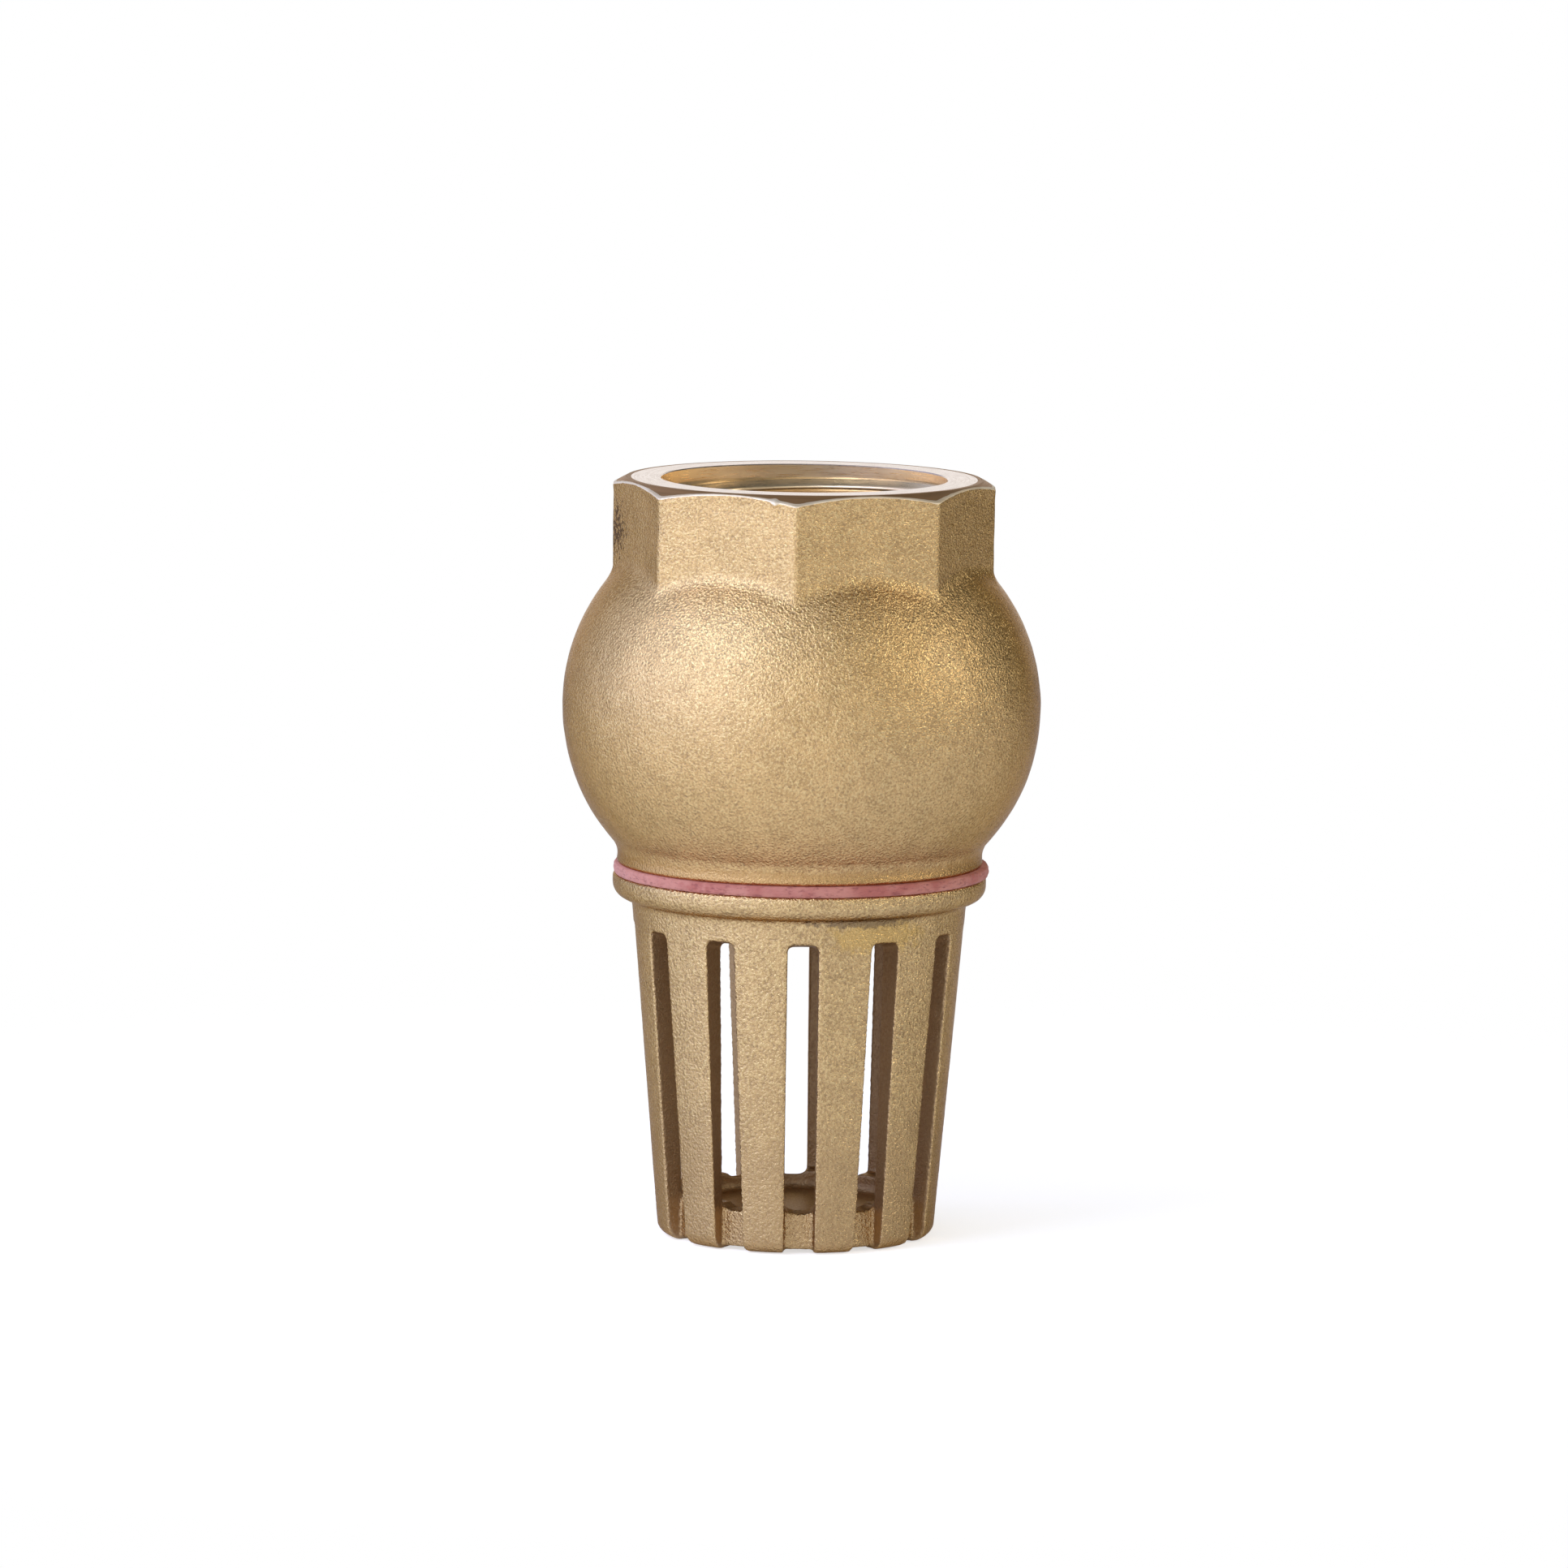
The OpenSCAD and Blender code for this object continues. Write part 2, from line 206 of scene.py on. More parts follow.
def link(mesh: bpy.types.Mesh, name: str) -> Object:
    """Puts a mesh in the scene.

    Args:
        mesh: the finished mesh.
        name: the object's name.

    Returns:
        The new object.
    """
    piece = bpy.data.objects.new(name, mesh)
    bpy.context.scene.collection.objects.link(piece)
    return piece


def outward(mesh: bpy.types.Mesh) -> None:
    """Welds a mesh and turns its faces outward.

    Args:
        mesh: the mesh to mend, in metres.
    """
    work = bmesh.new()
    work.from_mesh(mesh)
    bmesh.ops.remove_doubles(work, verts=work.verts, dist=WELD)
    bmesh.ops.recalc_face_normals(work, faces=work.faces)
    work.to_mesh(mesh)
    work.free()


@dataclass
class Grid:
    """A quad mesh over rows and closed columns of points, in millimetres."""

    points: np.ndarray
    closed_rows: bool = True
    sharp_rows: Sequence[int] = ()
    row_materials: Sequence[int] = ()
    capped: bool = False

    def object(self, name: str) -> Object:
        """Makes the mesh and its object.

        Args:
            name: the object's name.

        Returns:
            The object, in metres.
        """
        rows, columns, _ = self.points.shape
        mesh = bpy.data.meshes.new(name)
        strips = rows if self.closed_rows else rows - 1
        r, c = np.meshgrid(np.arange(strips), np.arange(columns), indexing="ij")
        r_next, c_next = (r + 1) % rows, (c + 1) % columns
        near, far = r * columns, r_next * columns
        faces = np.stack([near + c, near + c_next, far + c_next, far + c], axis=-1).reshape(-1, 4).tolist()
        if self.capped:
            faces.append(list(range(columns - 1, -1, -1)))
            faces.append([(rows - 1) * columns + i for i in range(columns)])
        mesh.from_pydata((self.points.reshape(-1, 3) * MM).tolist(), [], faces)
        if len(self.row_materials):
            by_row = np.asarray(self.row_materials, np.int32)[:strips]
            mesh.polygons.foreach_set("material_index", np.repeat(by_row, columns))
        mesh.shade_smooth()
        self._sharpen(mesh, columns)
        outward(mesh)
        return link(mesh, name)

    def _sharpen(self, mesh: bpy.types.Mesh, columns: int) -> None:
        """Marks the edges along the sharp rows.

        Args:
            mesh: the new mesh.
            columns: points in a row.
        """
        if not len(self.sharp_rows):
            return
        ends = np.zeros(len(mesh.edges) * 2, np.int32)
        mesh.edges.foreach_get("vertices", ends)
        row_of = ends.reshape(-1, 2) // columns
        sharp = (row_of[:, 0] == row_of[:, 1]) & np.isin(row_of[:, 0], np.asarray(self.sharp_rows))
        mark = mesh.attributes.new("sharp_edge", "BOOLEAN", "EDGE")
        mark.data.foreach_set("value", sharp)


@dataclass
class Rings:
    """Rows of points around the Z axis, collected one after another for a grid."""

    angles: np.ndarray
    points: list[np.ndarray] = field(default_factory=list)
    skins: list[int] = field(default_factory=list)
    sharp: list[int] = field(default_factory=list)

    def add(self, radius: Values, height: Values, skin: Skin, sharp: bool = False) -> None:
        """Adds a row.

        Args:
            radius: radius of the row, or of each of its points.
            height: height of the row, or of each of its points.
            skin: what the faces after the row wear.
            sharp: True for a row along a sharp edge.
        """
        if sharp:
            self.sharp.append(len(self.points))
        self.points.append(polar(radius, self.angles, height))
        self.skins.append(int(skin))


def rounded(corners: Profile, radius: float, steps: int = 4) -> Profile:
    """Rounds every corner of a closed outline.

    Args:
        corners: the outline's corners, as radius and height.
        radius: size of the rounding, limited by the sides that meet.
        steps: segments in each rounding.

    Returns:
        The rounded outline.
    """
    result: Profile = []
    count = len(corners)
    for i, corner in enumerate(corners):
        here = np.array(corner)
        before, after = np.array(corners[i - 1]) - here, np.array(corners[(i + 1) % count]) - here
        reach = min(radius, np.linalg.norm(before) * 0.45, np.linalg.norm(after) * 0.45)
        start = here + before / np.linalg.norm(before) * reach
        end = here + after / np.linalg.norm(after) * reach
        for t in np.linspace(0.0, 1.0, steps + 1):
            point = (1 - t) ** 2 * start + 2 * t * (1 - t) * here + t**2 * end
            result.append((float(point[0]), float(point[1])))
    return result


def lathe(name: str, outline: Profile, segments: int = 160) -> Object:
    """Turns a closed outline about the Z axis.

    Args:
        name: the object's name.
        outline: radius and height of each point, in millimetres.
        segments: facets around the axis.

    Returns:
        The turned piece.
    """
    angles = np.linspace(0.0, FULL_TURN, segments, endpoint=False)
    radii, heights = (np.array(values)[:, None] for values in zip(*outline))
    piece = Grid(polar(radii, angles, heights)).object(name)
    piece.data.set_sharp_from_angle(angle=SHARP_ANGLE)
    return piece


def loft(near: Sequence[Point], far: Sequence[Point]) -> Solid:
    """A closed solid between two end faces.

    Args:
        near: the first end face, in order.
        far: the second end face, with a point for each point of the first.

    Returns:
        The solid as a bmesh, in millimetres.
    """
    work = bmesh.new()
    first, last = ([work.verts.new(p) for p in face] for face in (near, far))
    work.faces.new(first)
    work.faces.new(list(reversed(last)))
    for i in range(len(first)):
        j = (i + 1) % len(first)
        work.faces.new([first[j], first[i], last[i], last[j]])
    bmesh.ops.recalc_face_normals(work, faces=work.faces)
    return work


def slab(start: float, end: float, low: float, high: float, width: float, top_width: float) -> Solid:
    """A bar that lies along +X.

    Args:
        start: where the bar starts.
        end: where it ends.
        low: height of its underside.
        high: height of its top.
        width: width of the underside.
        top_width: width of the top.

    Returns:
        The bar as a bmesh, in millimetres.
    """
    section = [(-width / 2, low), (width / 2, low), (top_width / 2, high), (-top_width / 2, high)]
    return loft([(start, y, z) for y, z in section], [(end, y, z) for y, z in section])


def around(shape: Solid, name: str, angles: Sequence[float]) -> Object:
    """Copies a shape around the Z axis into one object.

    Args:
        shape: the shape at angle 0, in millimetres.
        name: the object's name.
        angles: degrees of each copy.

    Returns:
        The object, in millimetres.
    """
    source = bpy.data.meshes.new(name)
    shape.to_mesh(source)
    shape.free()
    total = bmesh.new()
    for angle in angles:
        copy = source.copy()
        copy.transform(Matrix.Rotation(math.radians(angle), 4, "Z"))
        total.from_mesh(copy)
        bpy.data.meshes.remove(copy)
    total.to_mesh(source)
    total.free()
    return link(source, name)


def settled(piece: Object) -> bpy.types.Mesh:
    """A new mesh of the piece after its modifiers."""
    return bpy.data.meshes.new_from_object(piece.evaluated_get(bpy.context.evaluated_depsgraph_get()))


@dataclass(frozen=True)
class Casting:
    """How a rough solid, in millimetres, becomes a soft-edged casting."""

    voxel: float = 0.28
    smoothing: int = 6
    wave: float = 0.04
    peel: float = 0.012
    seed: int = 5

    def form(self, piece: Object) -> Object:
        """Remeshes, softens and roughens a piece, and turns it into metres.

        The piece is skewed while it is remeshed, so that no straight edge runs along the voxels.

        Args:
            piece: the solid.

        Returns:
            A new object with the finished mesh.
        """
        skew = Euler((0.37, 0.61, 0.23)).to_matrix()
        piece.data.transform(skew.to_4x4())
        remesh = piece.modifiers.new("skin", "REMESH")
        remesh.mode = "VOXEL"
        remesh.voxel_size = self.voxel
        soften = piece.modifiers.new("soften", "SMOOTH")
        soften.iterations = self.smoothing
        name = piece.name
        piece.name = name + "_blank"
        mesh = settled(piece)
        co, normals = np.zeros(len(mesh.vertices) * 3), np.zeros(len(mesh.vertices) * 3)
        mesh.vertices.foreach_get("co", co)
        mesh.vertices.foreach_get("normal", normals)
        co, normals = co.reshape(-1, 3) @ np.array(skew), normals.reshape(-1, 3) @ np.array(skew)
        layers = (Waves(5.0, 14.0, self.seed), self.wave), (Waves(1.1, 2.6, self.seed + 1), self.peel)
        depth = dents(co, layers)
        mesh.vertices.foreach_set("co", ((co + normals * depth[:, None]) * MM).ravel())
        mesh.update()
        mesh.shade_smooth()
        bpy.data.objects.remove(piece)
        return link(mesh, name)


def cut(piece: Object, tools: Sequence[Object], union: bool = False) -> Object:
    """Applies boolean operations one after another.

    Args:
        piece: the solid that is worked on.
        tools: the solids that cut it or join it, which are then removed.
        union: True joins the tools instead of cutting with them.

    Returns:
        A new object with the result.
    """
    for tool in tools:
        step = piece.modifiers.new("step", "BOOLEAN")
        step.operation = "UNION" if union else "DIFFERENCE"
        step.solver = "EXACT"
        step.object = tool
    name, mesh = piece.name, settled(piece)
    for old in [piece, *tools]:
        bpy.data.objects.remove(old)
    return link(mesh, name)


def in_millimetres(piece: Object) -> Object:
    """Scales a piece that was made in metres back to millimetres, for boolean work."""
    piece.data.transform(Matrix.Scale(1.0 / MM, 4))
    return piece


def helix(
    name: str,
    line: Callable[[np.ndarray], tuple[float, np.ndarray]],
    turns: float,
    section: Callable[[np.ndarray], np.ndarray],
    stations: int,
) -> Object:
    """Sweeps a section along a helix about the Z axis.

    Args:
        name: the object's name.
        line: gives the radius, and the height for an array of turns.
        turns: number of turns.
        section: gives for each turn a list of radial and upward offsets.
        stations: sections in one turn.

    Returns:
        The swept piece, closed at both ends.
    """
    t = np.linspace(0.0, turns, int(turns * stations) + 1)
    radius, height = line(t)
    offsets = section(t)
    points = polar(radius + offsets[..., 0], (FULL_TURN * t)[:, None], height[:, None] + offsets[..., 1])
    return Grid(points, closed_rows=False, capped=True).object(name)


# ---- Finishes ----


class Nodes:
    """A node tree under construction."""

    def __init__(self, tree: bpy.types.NodeTree, coordinates: str) -> None:
        """Starts with the coordinates that the textures use.

        Args:
            tree: the node tree.
            coordinates: the name of the texture coordinates.
        """
        self.tree = tree
        self.place = self.add("ShaderNodeTexCoord").outputs[coordinates]

    def add(self, kind: str, **settings: object) -> bpy.types.Node:
        """Adds a node.

        Args:
            kind: the node's type name.
            settings: properties of the node.

        Returns:
            The node.
        """
        node = self.tree.nodes.new(kind)
        for key, value in settings.items():
            setattr(node, key, value)
        return node

    def feed(self, target: Socket, value: object) -> None:
        """Links an input, or sets it to a constant.

        Args:
            target: the input.
            value: an output, or a number, vector or colour.
        """
        if isinstance(value, Socket):
            self.tree.links.new(value, target)
        else:
            target.default_value = value

    def math(self, operation: str, a: object, b: object = 0.0, c: object = 0.0) -> Socket:
        """A math node.

        Args:
            operation: the operation's name.
            a: first value or socket.
            b: second value or socket.
            c: third value or socket.

        Returns:
            The result's socket.
        """
        node = self.add("ShaderNodeMath", operation=operation)
        for target, value in zip(node.inputs, (a, b, c)):
            self.feed(target, value)
        return node.outputs[0]

    def vector(self, operation: str, a: object, b: object = (0.0, 0.0, 0.0)) -> Socket:
        """A vector math node.

        Args:
            operation: the operation's name.
            a: first vector or socket.
            b: second vector or socket.

        Returns:
            The number for a length or a dot product, and the vector for the rest.
        """
        node = self.add("ShaderNodeVectorMath", operation=operation)
        self.feed(node.inputs[0], a)
        self.feed(node.inputs[1], b)
        return node.outputs["Value" if operation in ("LENGTH", "DOT_PRODUCT") else "Vector"]

    def split(self, vector: Socket) -> list[Socket]:
        """Takes a vector apart.

        Args:
            vector: the vector.

        Returns:
            Its x, y and z.
        """
        node = self.add("ShaderNodeSeparateXYZ")
        self.feed(node.inputs[0], vector)
        return list(node.outputs)

    def span(
        self, value: Socket, low: float, high: float, to_low: float = 0.0, to_high: float = 1.0
    ) -> Socket:
        """Maps a range of values to another, smoothly.

        Args:
            value: the socket.
            low: start of the range.
            high: end of the range.
            to_low: result at the start.
            to_high: result at the end.

        Returns:
            The mapped value, held at both ends.
        """
        node = self.add("ShaderNodeMapRange", interpolation_type="SMOOTHSTEP")
        settings = {"Value": value, "From Min": low, "From Max": high, "To Min": to_low, "To Max": to_high}
        for key, setting in settings.items():
            self.feed(node.inputs[key], setting)
        return node.outputs["Result"]

    def blend(self, share: Socket, a: object, b: object) -> Socket:
        """Mixes two colours.

        Args:
            share: how much of the second colour is used.
            a: first colour or socket.
            b: second colour or socket.

        Returns:
            The mixed colour.
        """
        node = self.add("ShaderNodeMix", data_type="RGBA")
        self.feed(node.inputs["Factor"], share)
        for target, value in zip([s for s in node.inputs if s.type == "RGBA"], (a, b)):
            self.feed(target, value if isinstance(value, Socket) else (*value, 1.0))
        return next(s for s in node.outputs if s.type == "RGBA")

    def layer(self, share: Socket, a: Socket, b: Socket) -> Socket:
        """Mixes two shaders.

        Args:
            share: how much of the second shader is used.
            a: first shader.
            b: second shader.

        Returns:
            The mixed shader.
        """
        node = self.add("ShaderNodeMixShader")
        for target, source in zip(node.inputs, (share, a, b)):
            self.feed(target, source)
        return node.outputs[0]


class Graph(Nodes):
    """A node material under construction."""

    def __init__(self, name: str) -> None:
        """Starts a material with a Principled shader.

        Args:
            name: the material's name.
        """
        self.material = bpy.data.materials.new(name)
        self.material.use_nodes = True
        super().__init__(self.material.node_tree, "Object")
        self.shader = self.tree.nodes["Principled BSDF"]

    def noise(
        self, size: float, detail: float = 2.0, roughness: float = 0.5, place: Socket | None = None
    ) -> Socket:
        """Noise whose blobs have a real size.

        Args:
            size: distance between blobs, in millimetres.
            detail: octaves.
            roughness: strength of the finer octaves.
            place: coordinates, or None for the object's own.

        Returns:
            The noise value, about 0.5 on average.
        """
        node = self.add("ShaderNodeTexNoise")
        settings = {"Scale": 1.0 / (size * MM), "Detail": detail, "Roughness": roughness}
        for key, setting in {**settings, "Vector": place or self.place}.items():
            self.feed(node.inputs[key], setting)
        return node.outputs["Fac"]

    def bump(self, height: Socket, depth: float) -> Socket:
        """Turns a height into a normal.

        Args:
            height: the height, from 0 to 1.
            depth: what a height of 1 stands for, in millimetres.

        Returns:
            The bumped normal.
        """
        node = self.add("ShaderNodeBump")
        for key, setting in {"Strength": 1.0, "Distance": depth * MM, "Height": height}.items():
            self.feed(node.inputs[key], setting)
        return node.outputs["Normal"]

    def rings(self, vertical: bool, pitch: float) -> Socket:
        """Coordinates in which a noise becomes turning lines about the Z axis.

        Args:
            vertical: True for lines stacked up a wall, False for rings on a flat face.
            pitch: stretch of the lines around the axis.

        Returns:
            The coordinates.
        """
        x, y, z = self.split(self.place)
        radius = self.math("SQRT", self.math("ADD", self.math("MULTIPLY", x, x), self.math("MULTIPLY", y, y)))
        joined = self.add("ShaderNodeCombineXYZ")
        self.feed(joined.inputs[0], z if vertical else radius)
        self.feed(joined.inputs[1], self.math("MULTIPLY", self.math("ARCTAN2", y, x), pitch * MM))
        return joined.outputs[0]

    def set(self, **values: object) -> None:
        """Sets inputs of the shader by name, with _ for a space.

        Args:
            values: numbers, colours or sockets.
        """
        for key, value in values.items():
            self.feed(self.shader.inputs[key.replace("_", " ")], value)


@dataclass(frozen=True)
class Patch:
    """A patch of another colour on the skin, with a ragged edge. Some are stains, and some are painted light
    or shade. Its centre and size are in millimetres.
    """

    centre: Point
    size: Point
    colour: Colour
    strength: float
    ragged: float = 0.8
    mottle: float = 1.1

    def share(self, graph: Graph) -> Socket:
        """How much of the patch shows.

        Args:
            graph: the material under construction.

        Returns:
            The share, from none to the patch's strength.
        """
        offset = graph.vector("SUBTRACT", graph.place, [c * MM for c in self.centre])
        distance = graph.vector("LENGTH", graph.vector("DIVIDE", offset, [c * MM for c in self.size]))
        mottle = graph.noise(self.mottle, 4.0, 0.6)
        uneven = graph.math("MULTIPLY_ADD", mottle, self.ragged * 2.0, -self.ragged)
        return graph.span(graph.math("ADD", distance, uneven), 1.1, 0.55, 0.0, self.strength)


@dataclass(frozen=True)
class CastBrass:
    """Sand-cast brass: fine sparkling grain over a soft, slightly mottled skin.

    Where inner_r is set, the walls of slots and the inside of a basket with that inner radius get painted
    shade: a darker colour, with a rougher skin and less relief.
    """

    name: str = "cast_brass"
    bright: Colour = (0.95, 0.71, 0.34)
    pale: Colour = (0.77, 0.495, 0.212)
    dark: Colour = (0.63, 0.40, 0.168)
    stain: Colour = (0.36, 0.24, 0.13)
    # Painted shade: the darker colour laid on slot walls and the basket's inside
    painted_shade: Colour = (0.52, 0.35, 0.19)
    edge: Colour = (0.57, 0.39, 0.225)
    roughness: float = 0.19
    grain: float = 0.29
    grain_depth: float = 0.15
    sparkle: float = 0.35
    cloud_size: float = 3.0
    spot_size: float = 1.3
    inner_r: float = 0.0
    patches: tuple[Patch, ...] = ()

    def make(self) -> Material:
        """Makes the material.

        Returns:
            The material.
        """
        graph = Graph(self.name)
        grain = graph.noise(self.grain)
        fine = graph.noise(self.grain * 0.4, 1.0)
        relief = graph.math("MULTIPLY_ADD", graph.math("SUBTRACT", fine, 0.5), self.sparkle, grain)
        cloud, spots = graph.noise(self.cloud_size, 4.0, 0.62), graph.noise(self.spot_size, 2.0, 0.55)
        skin = graph.blend(graph.span(cloud, 0.38, 0.66, 0.0, 0.8), self.pale, self.dark)
        skin = graph.blend(graph.span(spots, 0.62, 0.80, 0.0, 0.4), skin, self.stain)
        skin = graph.blend(graph.span(relief, 0.46, 0.66, 0.0, 0.65), skin, self.bright)
        skin = graph.blend(graph.span(relief, 0.46, 0.30, 0.0, 0.5), skin, self.stain)
        for patch in self.patches:
            skin = graph.blend(patch.share(graph), skin, patch.colour)
        rough = graph.span(relief, 0.35, 0.65, self.roughness + 0.10, self.roughness - 0.06)
        if self.inner_r > 0.0:
            sheltered, sideways = self._shelter(graph)
            # Painted shade: sheltered skin that doesn't face up is darkened towards the shade colour
            skin = graph.blend(graph.math("MULTIPLY", sheltered, sideways), skin, self.painted_shade)
            rough = graph.math("MULTIPLY_ADD", sheltered, 0.3, rough)
            relief = graph.math("MULTIPLY", relief, graph.math("MULTIPLY_ADD", sheltered, -0.6, 1.0))
        graph.set(Base_Color=skin, Metallic=1.0, Roughness=rough, Normal=graph.bump(relief, self.grain_depth))
        graph.set(Specular_Tint=(*self.edge, 1.0), Coat_Weight=0.2, Coat_Roughness=0.3)
        return graph.material

    def _shelter(self, graph: Graph) -> tuple[Socket, Socket]:
        """Where the wall is turned away from the outside, in the slots and on the wall's inner side; this is
        where the shade is painted.

        Args:
            graph: the material under construction.

        Returns:
            The share of sheltered skin, and how little it faces up, so that faces that look up get less
            painted shade.
        """
        flat = graph.vector("MULTIPLY", graph.place, (1.0, 1.0, 0.0))
        normal = graph.add("ShaderNodeNewGeometry").outputs["Normal"]
        facing = graph.vector("DOT_PRODUCT", graph.vector("NORMALIZE", flat), normal)
        radius = graph.vector("LENGTH", flat)
        turned = graph.span(facing, 0.55, 0.15, 0.0, 0.85)
        inside = graph.span(radius, (self.inner_r + 5.2) * MM, (self.inner_r + 4.6) * MM)
        sideways = graph.span(graph.split(normal)[2], 0.8, 0.45, 0.35, 1.0)
        return graph.math("MULTIPLY", turned, inside), sideways


@dataclass(frozen=True)
class TurnedBrass:
    """Machined brass with fine turning lines."""

    name: str = "turned_brass"
    colour: Colour = (0.80, 0.58, 0.33)
    shade: Colour = (0.62, 0.42, 0.22)
    roughness: float = 0.26
    vertical: bool = False
    line: float = 0.16
    line_depth: float = 0.004

    def make(self) -> Material:
        """Makes the material.

        Returns:
            The material.
        """
        graph = Graph(self.name)
        place = graph.rings(self.vertical, 0.8)
        lines, bands = graph.noise(self.line, 2.0, 0.6, place), graph.noise(0.9, 2.0, 0.5, place)
        skin = graph.blend(graph.span(bands, 0.35, 0.65, 0.0, 0.6), self.colour, self.shade)
        skin = graph.blend(graph.span(graph.noise(4.0), 0.5, 0.75, 0.0, 0.4), skin, self.shade)
        rough = graph.span(lines, 0.3, 0.7, self.roughness - 0.05, self.roughness + 0.07)
        graph.set(Base_Color=skin, Metallic=1.0, Roughness=rough, Normal=graph.bump(lines, self.line_depth))
        return graph.material


@dataclass(frozen=True)
class Fibre:
    """Red vulcanised fibre, with a matted, slightly fuzzy skin and a paler left side, which is painted light.
    """

    name: str = "fibre"
    colour: Colour = (0.52, 0.165, 0.13)
    pale: Colour = (0.68, 0.29, 0.225)
    dark: Colour = (0.32, 0.09, 0.08)
    # Painted light: a paler patch on the left, where the lamps on that side fall
    painted_lit_side: Patch = Patch((-20.0, -8.0, 44.5), (15.0, 15.0, 9.0), (0.68, 0.29, 0.225), 0.8)

    def make(self) -> Material:
        """Makes the material.

        Returns:
            The material.
        """
        graph = Graph(self.name)
        matted = graph.noise(0.9, 5.0, 0.7, graph.vector("MULTIPLY", graph.place, (1.0, 1.0, 3.0)))
        skin = graph.blend(graph.span(graph.noise(3.5), 0.35, 0.7, 0.0, 0.9), self.colour, self.pale)
        # Painted light: the left side is made paler
        skin = graph.blend(self.painted_lit_side.share(graph), skin, self.painted_lit_side.colour)
        skin = graph.blend(graph.span(matted, 0.50, 0.30, 0.0, 0.9), skin, self.dark)
        graph.set(Base_Color=skin, Roughness=0.78, Normal=graph.bump(matted, 0.10))
        graph.set(Specular_IOR_Level=0.3, Sheen_Weight=0.15)
        return graph.material


@dataclass(frozen=True)
class Clouded:
    """A finish with slow clouds of a second colour and a faint grain."""

    name: str
    colour: Colour
    shade: Colour
    cloud_size: float
    cloud_end: float
    strength: float
    smooth: float
    rough: float
    grain: float
    grain_depth: float
    metallic: float = 0.0

    def make(self) -> Material:
        """Makes the material.

        Returns:
            The material.
        """
        graph = Graph(self.name)
        cloud = graph.noise(self.cloud_size, 3.0)
        share = graph.span(cloud, 0.4, self.cloud_end, 0.0, self.strength)
        skin = graph.blend(share, self.colour, self.shade)
        rough = graph.span(cloud, 0.3, 0.7, self.smooth, self.rough)
        normal = graph.bump(graph.noise(self.grain), self.grain_depth)
        graph.set(Base_Color=skin, Metallic=self.metallic, Roughness=rough, Normal=normal)
        return graph.material


@dataclass(frozen=True)
class Rubber(Clouded):
    """Black moulded nitrile, with a grey bloom."""

    name: str = "nitrile_rubber"
    colour: Colour = (0.018, 0.018, 0.02)
    shade: Colour = (0.05, 0.05, 0.052)
    cloud_size: float = 2.5
    cloud_end: float = 0.75
    strength: float = 1.0
    smooth: float = 0.42
    rough: float = 0.6
    grain: float = 0.25
    grain_depth: float = 0.004


@dataclass(frozen=True)
class Steel(Clouded):
    """Drawn stainless wire and plate."""

    name: str = "spring_steel"
    colour: Colour = (0.62, 0.62, 0.63)
    shade: Colour = (0.42, 0.42, 0.43)
    cloud_size: float = 0.8
    cloud_end: float = 0.7
    strength: float = 0.8
    smooth: float = 0.22
    rough: float = 0.36
    grain: float = 0.2
    grain_depth: float = 0.003
    metallic: float = 1.0


def wear(piece: Object, slot: Slot, *materials: Material) -> None:
    """Gives a piece its materials.

    Args:
        piece: the piece.
        slot: the material slot; not used.
        materials: the materials, in order of the faces' indices.
    """
    if len(piece.data.materials):
        piece.data.materials.clear()
    for material in materials:
        piece.data.materials.append(material)
    LOG.info("%s wears %s", piece.name, ", ".join(m.name for m in materials))


# ---- Valve body ----


